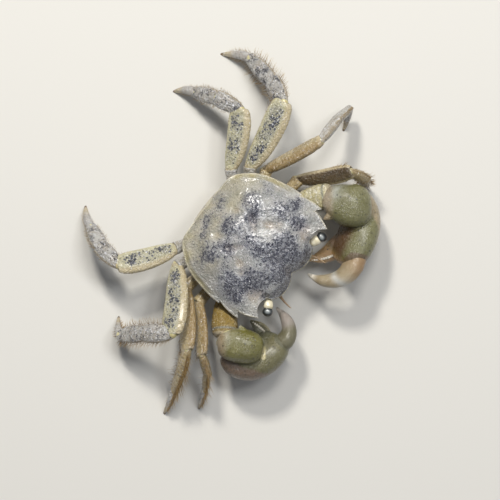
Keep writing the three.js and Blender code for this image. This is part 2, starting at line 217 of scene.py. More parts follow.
def limbShape(form, paint=None):
    # rings stand closer together towards both ends, which are rounded more sharply as blunt grows
    rows, columns, blunt = form.get("rows", 40), form.get("columns", 30), form.get("blunt", 5)
    near = (1 - np.cos(np.linspace(0, math.pi / 2, rows // 2 + 1)[1:])) / 2
    if form.get("socket"):  # the far end is a cup for the next piece
        depth = form["socket"] / np.linalg.norm(np.subtract(form["path"][-1], form["path"][0]))
        s = np.concatenate([near, np.linspace(0.5, 1, rows // 2)[1:], 1 - depth * cup["depths"]])
        size = (1 - np.clip(1 - 2 * s, 0, 1) ** blunt) ** (1 / blunt)
        size *= 1 - form["mouth"] * np.clip((s - cup["from"]) / (1 - cup["from"]), 0, 1) ** cup["power"]
        size[-3:] = cup["sizes"] * (1 - form["mouth"])
        end = 1 - depth
    else:
        s = np.concatenate([near, 1 - near[::-1][1:]])
        size = (1 - np.abs(1 - 2 * s) ** blunt) ** (1 / blunt)
        end = 1.0
    turn = np.linspace(0, 2 * math.pi, columns, endpoint=False)
    allS, allTurn = np.repeat(s, columns), np.tile(turn, len(s))
    skin = limbSurface(form, allS, allTurn, np.repeat(size, columns))
    poles = limbFrame(form, np.array([0.0, end]))[0]
    if "lift" in form:
        poles = limbSurface(form, np.array([0.0, end]), np.zeros(2), np.zeros(2))
    quads, tris = loftFaces(len(s), columns)
    shape = {"points": np.vstack([poles[:1], skin, poles[1:]]), "quads": quads, "tris": tris, "values": {}}
    if paint:
        along, around = np.concatenate([[0.0], allS, [end]]), np.concatenate([[0.0], allTurn, [0.0]])
        shape["values"] = paint(along, around, shape["points"])
    return facingOut(shape)


def edgeNear(turn, centre, width):
    # 1 on the line of that turn, fading to 0 away from it
    away = np.angle(np.exp(1j * (turn - centre)))
    return np.exp(-(away / width) ** 2)


def plainPaint(s, turn, points):
    return {"spots": 0.1 * np.ones(len(s)), "border": np.zeros(len(s)), "tip": np.zeros(len(s))}


def addLimb(name, form, material, slot, *nodes, paint=plainPaint):
    addPiece(name, limbShape(form, paint), material, slot, *nodes)


def tone(red, green, blue):
    # a colour as a painter's swatch reads it, 0 to 255, turned into light
    values = [c / 255 for c in (red, green, blue)]
    return tuple(c / 12.92 if c <= 0.04045 else ((c + 0.055) / 1.055) ** 2.4 for c in values) + (1.0,)


def addNode(tree, kind, inputs=None, **settings):
    # a socket among the inputs is linked, and anything else is the input's own value
    made = tree.nodes.new(kind)
    for key, value in settings.items():
        setattr(made, key, value)
    for key, value in (inputs or {}).items():
        if isinstance(value, bpy.types.NodeSocket):
            tree.links.new(value, made.inputs[key])
        else:
            made.inputs[key].default_value = value
    return made


def calculate(tree, operation, a, b=0.0, c=0.0, clamp=False):
    made = addNode(tree, "ShaderNodeMath", {0: a, 1: b, 2: c}, operation=operation, use_clamp=clamp)
    return made.outputs[0]


def times(tree, a, b):
    return calculate(tree, "MULTIPLY", a, b)


def vectorMath(tree, operation, a, b):
    second = "Scale" if operation == "SCALE" else 1
    return addNode(tree, "ShaderNodeVectorMath", {0: a, second: b}, operation=operation).outputs[0]


def blended(tree, share, below, above):
    return addNode(tree, "ShaderNodeMix", {"Factor": share, 6: below, 7: above}, data_type="RGBA").outputs[2]


def attribute(tree, name):
    return addNode(tree, "ShaderNodeAttribute", attribute_name=name).outputs["Fac"]


def nodeGroup(name, family, inputs, output, outputKind):
    # an input is given by its default, or by the kind of its socket where it has none
    tree = bpy.data.node_groups.new(name, family + "NodeTree")
    for label, value in inputs.items():
        kind = "NodeSocketInt" if isinstance(value, int) else "NodeSocketFloat"
        if isinstance(value, str):
            tree.interface.new_socket(name=label, in_out="INPUT", socket_type=value)
        else:
            tree.interface.new_socket(name=label, in_out="INPUT", socket_type=kind).default_value = value
    tree.interface.new_socket(name=output, in_out="OUTPUT", socket_type=outputKind)
    given, out = tree.nodes.new("NodeGroupInput"), tree.nodes.new("NodeGroupOutput")
    return tree, given.outputs, out.inputs[0]


def shaderGroup(name, inputs, output):
    return nodeGroup(name, "Shader", {"Vector": "NodeSocketVector", **inputs}, output, "NodeSocketFloat")


def noiseIn(tree, given, **settings):
    inputs = {"Vector": given["Vector"], "Scale": given["Scale"], **settings}
    return addNode(tree, "ShaderNodeTexNoise", inputs)


def makeSpeckles():
    # round dots of uneven size; Reach says how much of the surface they cover
    tree, given, mask = shaderGroup(
        "speckles", {"Scale": 2.0, "Reach": 0.3, "Softness": 0.08, "Wobble": 0.2}, "Mask",
    )
    wobble = noiseIn(tree, given, Scale=1.9, Detail=2.0)
    push = vectorMath(tree, "SUBTRACT", wobble.outputs["Color"], (0.5, 0.5, 0.5))
    push = vectorMath(tree, "SCALE", push, given["Wobble"])
    moved = vectorMath(tree, "ADD", given["Vector"], push)
    cells = addNode(tree, "ShaderNodeTexVoronoi", {"Vector": moved, "Scale": given["Scale"]})
    luck = addNode(tree, "ShaderNodeSeparateColor", {"Color": cells.outputs["Color"]}).outputs[0]
    radius = times(tree, given["Reach"], calculate(tree, "MULTIPLY_ADD", luck, 0.65, 0.4))
    inside = calculate(tree, "SUBTRACT", radius, cells.outputs["Distance"])
    tree.links.new(calculate(tree, "DIVIDE", inside, given["Softness"], clamp=True), mask)
    return tree


def makeMottle():
    # broad uneven patches from 0 to 1
    tree, given, value = shaderGroup("mottle", {"Scale": 0.4, "Contrast": 2.0}, "Value")
    cloud = noiseIn(tree, given, Detail=5.0, Roughness=0.6)
    centred = calculate(tree, "SUBTRACT", cloud.outputs["Fac"], 0.5)
    tree.links.new(calculate(tree, "MULTIPLY_ADD", centred, given["Contrast"], 0.5, clamp=True), value)
    return tree


def makeStain():
    # ragged soft-edged stains that spread as Amount goes from 0 to 1
    tree, given, mask = shaderGroup("stain", {"Scale": 2.0, "Amount": 0.5, "Softness": 0.15}, "Mask")
    ragged = noiseIn(tree, given, Detail=6.0, Roughness=0.72, Distortion=0.6)
    needed = calculate(tree, "MULTIPLY_ADD", given["Amount"], -0.36, 0.8)
    over = calculate(tree, "SUBTRACT", ragged.outputs["Fac"], needed)
    tree.links.new(calculate(tree, "DIVIDE", over, given["Softness"], clamp=True), mask)
    return tree


def makeGrain():
    # the height of the shell's granules and pits
    tree, given, height = shaderGroup("grain", {"Scale": 2.5, "Pits": 0.4, "Fineness": 0.3}, "Height")
    coarse = noiseIn(tree, given, Detail=2.0, Roughness=0.5)
    smallScale = times(tree, given["Scale"], 2.7)
    small = noiseIn(tree, given, Scale=smallScale, Detail=1.0)
    cells = addNode(tree, "ShaderNodeTexVoronoi", {"Vector": given["Vector"], "Scale": smallScale})
    dimple = calculate(tree, "SUBTRACT", 0.35, cells.outputs["Distance"], clamp=True)
    raised = calculate(tree, "MULTIPLY_ADD", small.outputs["Fac"], given["Fineness"], coarse.outputs["Fac"])
    deep = times(tree, given["Pits"], -0.5)
    tree.links.new(calculate(tree, "MULTIPLY_ADD", dimple, deep, raised), height)
    return tree


groups = {"speckles": makeSpeckles(), "mottle": makeMottle(), "stain": makeStain(), "grain": makeGrain()}


def newMaterial(name, constants):
    material = bpy.data.materials.new(name)
    material.use_nodes = True
    inputs = material.node_tree.nodes["Principled BSDF"].inputs
    for key, value in constants.items():
        inputs[key].default_value = value
    return material, material.node_tree, inputs


def addPlace(tree):
    # the place on the object in millimetres
    object3d = addNode(tree, "ShaderNodeTexCoord").outputs["Object"]
    return addNode(tree, "ShaderNodeMapping", {"Vector": object3d, "Scale": (1 / mm,) * 3}).outputs[0]


def addBump(tree, inputs, strength, depth, height):
    values = {"Strength": strength, "Distance": depth * mm, "Height": height}
    tree.links.new(addNode(tree, "ShaderNodeBump", values).outputs["Normal"], inputs["Normal"])


def useGroup(tree, name, **inputs):
    return addNode(tree, "ShaderNodeGroup", inputs, node_tree=groups[name]).outputs[0]


def shellMaterial(name, look):
    # wet shell: two ground tones, dark stains and dots where "spots" is painted, plain edges where
    # "border" is, a second tone where "flush" is, white flecks painted as glints, and the tip tone where
    # "tip" is: pale ends, and painted shade on the palms' inner side
    look = {key: tone(*value) if isinstance(value, tuple) else value for key, value in look.items()}
    material, tree, inputs = newMaterial(name, {
        "Specular IOR Level": look["shine"], "Coat Weight": look["coat"],
        "Coat Roughness": look["coatRoughness"], "Subsurface Weight": look["glow"],
        "Subsurface Scale": look["glowDepth"] * mm,
    })
    place = addPlace(tree)
    spots, border, tip, flushed = (attribute(tree, key) for key in ("spots", "border", "tip", "flush"))

    def pattern(kind, **values):
        return useGroup(tree, kind, Vector=place, **values)

    def covered(colour, mask, strength, above):
        return blended(tree, times(tree, mask, strength), colour, above)

    cloud = pattern("mottle", Scale=look["cloud"], Contrast=look["cloudContrast"])
    colour = blended(tree, cloud, look["ground"], look["groundAlt"])
    flushCloud = pattern("mottle", Scale=look["cloud"] * 2.3, Contrast=look["flushContrast"])
    flush = calculate(tree, "MAXIMUM", times(tree, flushCloud, look["flushShare"]), flushed)
    colour = blended(tree, flush, colour, look["flush"])
    colour = covered(colour, border, look["borderShare"], look["border"])
    colour = covered(colour, spots, look["veilShare"], look["veil"])
    stain = pattern("stain", Scale=look["stainScale"], Amount=spots, Softness=look["stainSoft"])
    dotTone = blended(tree, cloud, look["dots"], look["dotsAlt"])
    colour = covered(colour, stain, look["stainStrength"], dotTone)
    broken = pattern("mottle", Scale=look["clump"], Contrast=look["clumpContrast"])
    share = calculate(tree, "MULTIPLY_ADD", broken, look["clumping"], 1.0 - look["clumping"])
    reach = times(tree, times(tree, spots, share), look["dotReach"])
    dots = pattern(
        "speckles", Scale=look["dotScale"], Reach=reach, Softness=look["dotSoft"], Wobble=look["wobble"],
    )
    colour = covered(colour, dots, look["dotStrength"], dotTone)
    flecks = pattern(
        "speckles", Scale=look["fleckScale"], Reach=look["fleckReach"], Softness=look["fleckSoft"],
    )
    colour = covered(colour, flecks, look["fleckStrength"], look["flecks"])
    # white flecks painted as glints on the wet shell, fewer where "border" is painted
    glintShare = calculate(tree, "MULTIPLY_ADD", border, -look["paintedGlintLoss"], look["paintedGlints"])
    paintedGlints = pattern("stain", Scale=look["paintedGlintScale"], Amount=glintShare, Softness=look["paintedGlintSoft"])
    colour = blended(tree, paintedGlints, colour, look["paintedGlintTone"])
    tree.links.new(covered(colour, tip, look["tipShare"], look["tip"]), inputs["Base Color"])
    patchy = pattern("mottle", Scale=look["dullScale"], Contrast=look["dullContrast"])
    dull = calculate(tree, "MULTIPLY_ADD", patchy, look["dullness"], look["gloss"])
    tree.links.new(dull, inputs["Roughness"])
    height = pattern("grain", Scale=look["grainScale"], Pits=look["pits"], Fineness=look["fineness"])
    addBump(tree, inputs, look["grainStrength"], look["grainDepth"], height)
    return material


# Tones are red, green and blue from 0 to 255. Lengths are in mm, scales are per mm, and shares,
# strengths and softness go from 0 to 1.
backLook = {
    "cloud": 0.3, "cloudContrast": 2.6, "ground": (146, 147, 136), "groundAlt": (196, 193, 184),
    "flush": (178, 160, 134), "flushShare": 0.12, "flushContrast": 6.0,
    "border": (168, 156, 106), "borderShare": 0.85, "veil": (88, 97, 124), "veilShare": 0.55,
    "tip": (226, 218, 194), "tipShare": 0.95, "dots": (12, 16, 44), "dotsAlt": (24, 28, 50),
    "stainScale": 1.6, "stainSoft": 0.09, "stainStrength": 0.85,
    "dotScale": 2.9, "dotReach": 0.95, "dotStrength": 0.92, "dotSoft": 0.16,
    "clump": 1.2, "clumpContrast": 5.0, "clumping": 0.6, "wobble": 0.5,
    "flecks": (28, 32, 36), "fleckScale": 2.3, "fleckReach": 0.24, "fleckStrength": 0.9, "fleckSoft": 0.1,
    "paintedGlints": 0.6, "paintedGlintScale": 4.0, "paintedGlintTone": (244, 244, 248), "paintedGlintSoft": 0.06, "paintedGlintLoss": 0.32,
    "gloss": 0.1, "dullness": 0.14, "dullScale": 1.3, "dullContrast": 2.5,
    "grainScale": 2.0, "pits": 0.4, "fineness": 0.6, "grainStrength": 1.0, "grainDepth": 0.4,
    "shine": 1.0, "coat": 0.7, "coatRoughness": 0.2, "glow": 0.0, "glowDepth": 0.6,
}
paleLegLook = {
    **backLook, "ground": (176, 168, 124), "groundAlt": (200, 194, 156), "flush": (150, 148, 128),
    "flushShare": 0.3, "border": (176, 160, 128), "tip": (206, 196, 172), "dots": (22, 28, 52),
    "dotsAlt": (32, 36, 50), "veilShare": 0.35, "stainStrength": 0.3, "dotScale": 1.9, "dotReach": 1.1,
    "dotStrength": 0.97, "clump": 0.42, "clumping": 0.5, "wobble": 0.2, "fleckReach": 0.14, "paintedGlintScale": 2.4,
    "paintedGlintLoss": 0.05, "grainScale": 1.9, "gloss": 0.22, "coat": 0.2, "coatRoughness": 0.18,
}
greyLegLook = {
    **paleLegLook, "ground": (146, 142, 130), "groundAlt": (186, 184, 178), "flush": (146, 126, 92),
    "border": (158, 142, 110), "tip": (204, 194, 152), "dots": (30, 33, 48), "dotsAlt": (50, 50, 52),
    "veilShare": 0.2, "stainStrength": 0.9, "stainScale": 1.1, "dotScale": 2.2, "dotReach": 0.8, "clump": 0.7,
    "paintedGlints": 0.7, "paintedGlintScale": 2.0, "paintedGlintTone": (234, 234, 242), "paintedGlintSoft": 0.13, "grainDepth": 0.55,
    "grainScale": 1.6, "gloss": 0.16,
}
tipLook = {
    **greyLegLook, "ground": (150, 147, 142), "groundAlt": (196, 194, 190), "border": (178, 158, 112),
    "tip": (96, 70, 44), "paintedGlints": 0.6,
}
tanLegLook = {
    **paleLegLook, "ground": (156, 134, 90), "groundAlt": (188, 172, 130), "flush": (126, 104, 62),
    "border": (136, 112, 70), "dots": (62, 50, 36), "dotsAlt": (48, 40, 30), "dotStrength": 0.85,
    "dotScale": 2.2, "veil": (110, 92, 64), "stainStrength": 0.6,
}
# the first left leg's merus: a dark copy of the tan leg as painted shade, with a pale crest strip ("border")
# painted as a lit edge
shadedLegLook = {
    **tanLegLook, "ground": (70, 54, 34), "groundAlt": (106, 88, 60), "border": (200, 184, 146),
    "borderShare": 1.0, "flush": (54, 40, 26), "paintedGlints": 0.36,
}
# its pale "flush" tone is painted on the carpus towards the elbow: partly its own tone, partly painted sheen
wristLook = {
    **backLook, "cloud": 0.2, "ground": (94, 91, 46), "groundAlt": (124, 122, 80),
    "flush": (178, 180, 172), "flushShare": 0.0, "border": (162, 138, 110), "borderShare": 1.0,
    "veilShare": 0.0, "tip": (84, 58, 34), "dots": (30, 26, 10), "dotsAlt": (50, 44, 22),
    "stainStrength": 0.12, "dotScale": 1.5, "dotReach": 0.4, "dotStrength": 0.95, "clump": 0.6,
    "clumping": 0.3, "wobble": 0.15, "flecks": (34, 30, 14), "fleckScale": 3.1, "fleckStrength": 0.7,
    "paintedGlints": 0.2, "paintedGlintScale": 1.2, "paintedGlintTone": (150, 148, 126), "gloss": 0.22, "dullness": 0.16,
    "grainScale": 3.4, "pits": 0.3, "fineness": 0.8, "grainStrength": 0.9, "grainDepth": 0.16,
    "coat": 0.4, "coatRoughness": 0.28,
}
rightWristLook = {
    **wristLook, "ground": (93, 89, 30), "groundAlt": (119, 115, 56), "flush": (176, 172, 150),
}
# the palm's dark "tip" tone, taken from wristLook, is painted shade on its inner side
palmLook = {**wristLook, "flush": (172, 136, 88), "border": (156, 140, 108)}
# browner than the left palm, and darker as painted shade; its "tip" tone is painted shade on the inner side
rightPalmLook = {
    **wristLook, "ground": (82, 77, 38), "groundAlt": (108, 103, 64), "flush": (206, 194, 146),
    "border": (112, 92, 74), "tip": (84, 84, 62),
}
armLook = {
    **wristLook, "cloud": 0.5, "ground": (164, 152, 92), "groundAlt": (212, 204, 168),
    "flush": (180, 174, 152), "flushShare": 0.4, "border": (112, 122, 124), "tip": (222, 212, 186),
    "dots": (110, 84, 38), "dotsAlt": (130, 100, 52), "gloss": 0.18, "paintedGlints": 0.7, "paintedGlintScale": 1.5,
    "paintedGlintTone": (238, 235, 222), "grainDepth": 0.5, "grainScale": 2.2, "coat": 0.1,
}
rightArmLook = {
    **armLook, "ground": (130, 104, 40), "groundAlt": (158, 134, 70), "flush": (140, 118, 64),
    "paintedGlints": 0.46,
}
fingerLook = {
    **wristLook, "cloud": 0.4, "ground": (142, 124, 90), "groundAlt": (174, 160, 132),
    "flush": (196, 198, 194), "border": (140, 98, 42), "tip": (232, 226, 212),
    "dots": (120, 100, 74), "dotsAlt": (140, 120, 92), "fleckReach": 0.1, "paintedGlints": 0.5, "paintedGlintScale": 0.7,
    "paintedGlintTone": (214, 208, 196), "gloss": 0.26, "grainDepth": 0.2,
}
rightFingerLook = {
    **fingerLook, "ground": (134, 124, 116), "groundAlt": (162, 152, 144), "flush": (150, 142, 134),
    "border": (92, 88, 54), "tip": (196, 188, 178), "paintedGlints": 0.42,
}
bellyLook = {
    **backLook, "ground": (206, 196, 166), "groundAlt": (224, 218, 196), "flush": (190, 176, 138),
    "border": (168, 152, 116), "tip": (232, 226, 208), "veilShare": 0.0, "stainStrength": 0.1,
    "dotStrength": 0.4, "fleckReach": 0.06, "paintedGlints": 0.2, "gloss": 0.34, "grainStrength": 0.5,
    "grainDepth": 0.12, "shine": 0.6,
}
tailLook = {
    **bellyLook, "border": (150, 138, 106), "dots": (54, 54, 66), "dotsAlt": (84, 80, 84),
    "dotScale": 5.5, "dotStrength": 0.8, "stainStrength": 0.4, "fleckReach": 0.16, "paintedGlints": 0.3,
}
mouthLook = {
    **bellyLook, "ground": (170, 158, 116), "groundAlt": (202, 192, 156), "border": (126, 110, 72),
    "dots": (70, 62, 48), "stainStrength": 0.3, "dotStrength": 0.7, "dotScale": 2.4, "dotReach": 0.8,
    "fleckReach": 0.14,
}
stalkLook = {
    **bellyLook, "ground": (196, 184, 146), "groundAlt": (228, 224, 206), "flush": (176, 158, 112),
    "dots": (90, 84, 70), "gloss": 0.2, "coat": 0.4,
}
feelerLook = {
    **mouthLook, "ground": (110, 84, 60), "groundAlt": (156, 130, 96), "border": (70, 50, 36),
    "cloud": 1.2,
}
membraneLook = {
    **bellyLook, "ground": (174, 162, 110), "groundAlt": (204, 196, 156), "flush": (150, 144, 120),
    "grainStrength": 0.6, "glow": 0.1,
}
shellLooks = {
    "back": backLook, "paleLeg": paleLegLook, "greyLeg": greyLegLook, "tanLeg": tanLegLook,
    "shadedLeg": shadedLegLook, "legTip": tipLook, "leftWrist": wristLook, "rightWrist": rightWristLook,
    "leftPalm": palmLook, "rightPalm": rightPalmLook, "leftArm": armLook, "rightArm": rightArmLook,
    "leftFinger": fingerLook, "rightFinger": rightFingerLook, "belly": bellyLook, "tail": tailLook,
    "mouth": mouthLook, "stalk": stalkLook, "feeler": feelerLook,
}


def corneaMaterial():
    # dark polished facets under a clear wet skin, with a pale top painted as the reflection of the lights
    # above
    material, tree, inputs = newMaterial("cornea", {
        "Roughness": 0.3, "Coat Weight": 1.0, "Coat Roughness": 0.16,
    })
    place = addPlace(tree)
    cloud = useGroup(tree, "mottle", Vector=place, Scale=1.4, Contrast=2.0)
    dark = blended(tree, cloud, tone(30, 33, 36), tone(52, 56, 58))
    # the pale top is painted reflection of the lights above
    colour = blended(tree, attribute(tree, "pale"), dark, tone(158, 164, 162))
    tree.links.new(colour, inputs["Base Color"])
    facets = addNode(tree, "ShaderNodeTexVoronoi", {"Vector": place, "Scale": 14.0})
    addBump(tree, inputs, 0.25, 0.02, facets.outputs["Distance"])
    return material


def hairMaterial():
    # amber bristles, darker at the root
    material, tree, inputs = newMaterial("bristles", {"Roughness": 0.42})
    colour = blended(tree, attribute(tree, "hairAlong"), tone(88, 66, 38), tone(172, 142, 86))
    tree.links.new(colour, inputs["Base Color"])
    return material


def toothMaterial():
    # ivory, slightly clouded
    material, tree, inputs = newMaterial("fingerTeeth", {"Roughness": 0.22, "Coat Weight": 0.5})
    cloud = useGroup(tree, "mottle", Vector=addPlace(tree), Scale=1.1, Contrast=2.0)
    tree.links.new(blended(tree, cloud, tone(222, 212, 190), tone(242, 238, 228)), inputs["Base Color"])
    return material


materials = {finish: shellMaterial(finish + "Shell", look) for finish, look in shellLooks.items()}
materials["membrane"] = shellMaterial("jointSkin", membraneLook)
materials["cornea"] = corneaMaterial()
materials["hair"] = hairMaterial()
materials["teeth"] = toothMaterial()
print("materials made")


# "turn" is the camera's right as a direction on the floor, and "field" the width it sees.
view = {"aim": (-1.57, -1.15, 9.0), "distance": 990.0, "field": 109.5, "turn": (0.609, -0.793)}
# name, direction in the picture (right, up), degrees above the floor, distance and size in metres,
# watts, colour
lamps = [
    ("key", (-0.3, 0.95), 50, 0.6, 0.08, 2.6, (1.0, 0.965, 0.9)),
    ("high", (0.25, 0.97), 66, 0.6, 0.13, 1.4, (1.0, 0.98, 0.96)),
    ("side", (0.85, 0.52), 66, 0.6, 0.11, 0.85, (0.96, 0.98, 1.0)),
    ("fill", (0.8, -0.5), 40, 0.7, 0.7, 0.22, (0.88, 0.94, 1.0)),
    ("sky", (0.0, 0.2), 84, 0.8, 0.8, 0.28, (0.94, 0.97, 1.0)),
]
studio = {"air": (0.86, 0.9, 1.0, 1.0), "airStrength": 0.2, "floorHalf": 1.5}
cameraRight = np.array([*view["turn"], 0.0])


def makeCamera(top, aim):
    camera = linked("camera", bpy.data.cameras.new("camera"))
    axes = Matrix((cameraRight, top, up)).transposed().to_4x4()
    axes.translation = Vector(aim + up * view["distance"] * mm)
    camera.matrix_world = axes
    camera.data.lens = camera.data.sensor_width * view["distance"] / view["field"]
    bpy.context.scene.camera = camera


def makeLamps(top, aim):
    for name, (across, upward), rise, distance, size, watts, colour in lamps:
        flat = unit(cameraRight * across + top * upward)
        toLamp = flat * math.cos(math.radians(rise)) + up * math.sin(math.radians(rise))
        light = bpy.data.lights.new(name, "AREA")
        light.size, light.energy, light.color = size, watts, colour
        lamp = linked(name, light)
        lamp.location = Vector(aim + toLamp * distance)
        lamp.rotation_euler = Vector(toLamp).to_track_quat("Z", "Y").to_euler()
    world = bpy.data.worlds.new("studio")
    world.use_nodes = True
    air = world.node_tree.nodes["Background"].inputs
    air["Color"].default_value = studio["air"]
    air["Strength"].default_value = studio["airStrength"]
    bpy.context.scene.world = world


def makeFloor():
    half = studio["floorHalf"]
    corners = [(-half, -half, 0), (half, -half, 0), (half, half, 0), (-half, half, 0)]
    mesh = bpy.data.meshes.new("floor")
    mesh.from_pydata(corners, [], [(0, 1, 2, 3)])
    matt = newMaterial("paleFloor", {"Base Color": tone(206, 204, 198), "Roughness": 0.85})[0]
    mesh.materials.append(matt)
    floor = linked("floor", mesh)


pictureTop = np.cross(up, cameraRight)
aimPoint = np.array(view["aim"]) * mm + crabOrigin
makeCamera(pictureTop, aimPoint)
makeLamps(pictureTop, aimPoint)
makeFloor()
bpy.context.scene.view_settings.view_transform = "Standard"
print("camera and lights made")


back = {
    "halfWidth": 15.0, "halfLength": 12.5, "top": 17.48, "relief": 1.35, "rim": 13.4, "rearDrop": 1.1,
    "belly": 8.2, "centre": 2.0, "step": 0.2, "topRings": 96, "lowRings": 26, "melt": 9.0, "bowl": 0.4,
    "fullness": 2.6, "edge": 0.1, "eyeHole": 1.45, "browDrop": 0.35, "frontFall": 1.1, "flankFall": 0.5,
    "rimRidge": 0.16, "rearGroove": 0.16, "flankRidge": 0.06,
}
backGrain = [(0.7, 3.0, 0.1), (1.5, 9.0, 0.085), (2.8, 5.0, 0.04)]  # scale, seed and height of its unevenness
# The rim from the middle of the front to the middle of the rear: (from the midline, ahead of the
# middle). Each row is one smooth stretch, and the teeth stand where rows meet.
backRim = [
    [(0, 11.5), (1.5, 12.35), (3.2, 12.9), (5.2, 12.75), (6.7, 12.05), (7.45, 11.3)],
    [(7.45, 11.3), (7.75, 10.45), (9.2, 10.0), (10.9, 10.35), (12.3, 11.75)],
    [(12.3, 11.75), (12.95, 10.4), (13.5, 9.0), (13.8, 7.6), (13.75, 6.95)],
    [(13.75, 6.95), (14.4, 7.45), (15.05, 8.2)],
    [(15.05, 8.2), (15.1, 6.4), (14.9, 4.4), (14.4, 2.45)],
    [(14.4, 2.45), (14.95, 2.85)],
    [(14.95, 2.85), (14.95, 1.6), (14.85, 0.2), (14.45, -2.2), (13.75, -5.2), (12.7, -7.7), (11.3, -9.6),
     (9.9, -11.1), (8.2, -12.05), (5, -12.3), (2.2, -12.35), (0, -12.35)],
]
# Swellings and hollows on both sides of the midline: (from the midline, behind the middle, radius, height).
backLobes = [
    (2.5, -8.9, 1.5, 0.44), (4.3, -5.6, 2.4, 0.46), (0, -2.6, 2.3, 0.32), (0, -10.4, 1.0, -0.55),
    (0, -7.4, 0.9, -0.2), (9.2, -7.4, 1.8, -0.5), (11.3, -6.6, 1.6, 0.3), (10.6, -1.9, 2.1, 0.42),
    (8.6, 3.4, 3.0, 0.42), (2.3, 0.9, 0.8, -0.3), (3.3, 1.9, 0.8, -0.42), (4.3, 3.0, 0.85, -0.6),
    (5.3, -1.1, 1.0, -0.36), (6.8, -2.9, 1.1, -0.34), (0, 4.6, 2.4, 0.42), (3.3, 6.4, 1.0, -0.36),
    (12.6, 2.4, 1.6, -0.24), (0, 9.4, 2.4, 0.16), (7.6, -9.0, 1.0, -0.3), (6.6, 7.4, 1.9, 0.2),
]
# Dark blotches as they lie on this crab: (to its left, behind the middle, radius, strength).
backBlotches = [
    (4.6, 3.0, 1.9, 0.9), (0.1, 5.4, 2.4, 0.85), (-0.3, -1.0, 2.6, 0.95), (0.4, -6.8, 2.7, 1.0),
    (4.6, -6.2, 2.4, 1.0), (-1.6, -9.8, 2.0, 1.0), (3.4, -9.2, 2.0, 1.0), (-9.6, -1.8, 2.7, 0.95),
    (-6.0, -6.0, 2.8, 0.95), (9.4, -1.2, 2.1, 0.9), (10.0, -6.1, 1.9, 0.9), (-7.2, 5.2, 2.1, 0.75),
    (3.3, 10.6, 1.6, 0.6), (-11.2, -4.8, 1.6, 0.8), (-1.7, 10.2, 2.0, 0.5), (7.4, 5.6, 2.2, 0.7),
    (12.8, -3.0, 1.5, 0.7), (-4.4, 2.9, 1.7, 0.7), (-4.9, 9.6, 2.0, 0.5), (-10.4, 6.0, 2.0, 0.4),
    (11.6, 4.0, 1.8, 0.4),
]
eyes = {  # root and end of each eye
    "left": [(7.5, -10.9, 11.9), (11.0, -12.1, 12.9)], "right": [(-7.5, -10.9, 11.9), (-10.6, -12.9, 12.9)],
}


def smoothStretch(stretch):
    stretch = np.array(stretch, float)
    length = np.linalg.norm(np.diff(stretch, axis=0), axis=1).sum()
    count = max(2, round(length / back["step"]))
    return throughValues(stretch, np.arange(count) / count)


def heaped(x, y, hills):
    # the sum of round hills, given by place, radius and height
    return sum(
        height * np.exp(-((x - hillX) ** 2 + (y - hillY) ** 2) / radius ** 2)
        for hillX, hillY, radius, height in hills
    )


def swellings(x, y):
    return back["relief"] * heaped(np.abs(x), y, backLobes)


def backHeight(x, y):
    u, v = np.clip(np.abs(x) / back["halfWidth"], 0, 1), np.clip(np.abs(y) / back["halfLength"], 0, 1)
    dome = (1 - u ** back["fullness"]) * (1 - v ** back["fullness"])
    rim = back["rim"] - back["rearDrop"] * ease(0, back["halfLength"], y)
    height = rim + (back["top"] - back["rim"]) * dome
    return height + swellings(x, y) * np.minimum(1, 4 * dome + 0.35)  # swellings fade towards the rim


def backZones(x, y):
    # how much of each place belongs to the front, to the rear and to the flanks
    nearMidline = ease(9.5, 7.5, np.abs(x))
    rear = ease(9.5, 11.5, y)
    return ease(-8.2, -10.2, y) * nearMidline, rear, ease(-2, 2, y) * (1 - rear * nearMidline)


def backRings():
    # rings of skin from the middle of the top out to the rim (t goes from 0 to 1), then in below it
    half = np.concatenate([smoothStretch(stretch) for stretch in backRim] + [backRim[-1][-1:]])
    half[:, 1] *= -1
    rim = np.concatenate([half[:-1], half[:0:-1] * [-1, 1]])
    spectrum = np.fft.fft(rim[:, 0] + 1j * rim[:, 1])
    waves = np.fft.fftfreq(len(rim), d=back["step"]) * 2 * math.pi
    topT = 1 - np.linspace(0, 1, back["topRings"] + 1)[:-1] ** 1.25
    lowT = 1 - np.linspace(0, 1, back["lowRings"] + 1)[1:-1] ** 1.4
    rings = []
    for t, isUnder in [(t, 0.0) for t in topT[::-1]] + [(t, 1.0) for t in lowT]:
        melted = np.fft.ifft(spectrum * np.exp(-((waves * back["melt"] * (1 - t)) ** 2) / 2))
        rimX, rimY = melted.real, melted.imag
        x, y = rimX * t, back["centre"] + (rimY - back["centre"]) * t
        if isUnder:
            edge = backHeight(rimX, rimY) - back["edge"]
            inward = np.minimum(1, (1 - t) / back["bowl"])
            drop = back["browDrop"] + backZones(rimX, rimY)[0]
            z = edge - (edge - back["belly"]) * np.sin(inward * math.pi / 2)
            z = z - drop * ease(0, 0.02, 1 - t) * (1 - inward)
        else:
            z = backHeight(x, y) - back["edge"] * ease(0.97, 1, t)
        rings.append(np.stack([x, y, z, np.full(len(rim), t), np.full(len(rim), isUnder)], -1))
    rings = np.concatenate(rings)
    return rings[:, :3], rings[:, 3], rings[:, 4], len(rim), lowT


def hollowEyes(skin):
    # presses the shell back round both eyes
    for side, sign in sides:
        root, end = np.array(eyes[side])
        along = np.clip((skin - root) @ (end - root) / ((end - root) @ (end - root)), -0.25, 1)
        away = skin - (root + along[:, None] * (end - root))
        distance = np.linalg.norm(away, axis=1)
        push = np.maximum(0, back["eyeHole"] - distance) * ease(0, 0.3, distance)
        skin += unit(away) * push[:, None]


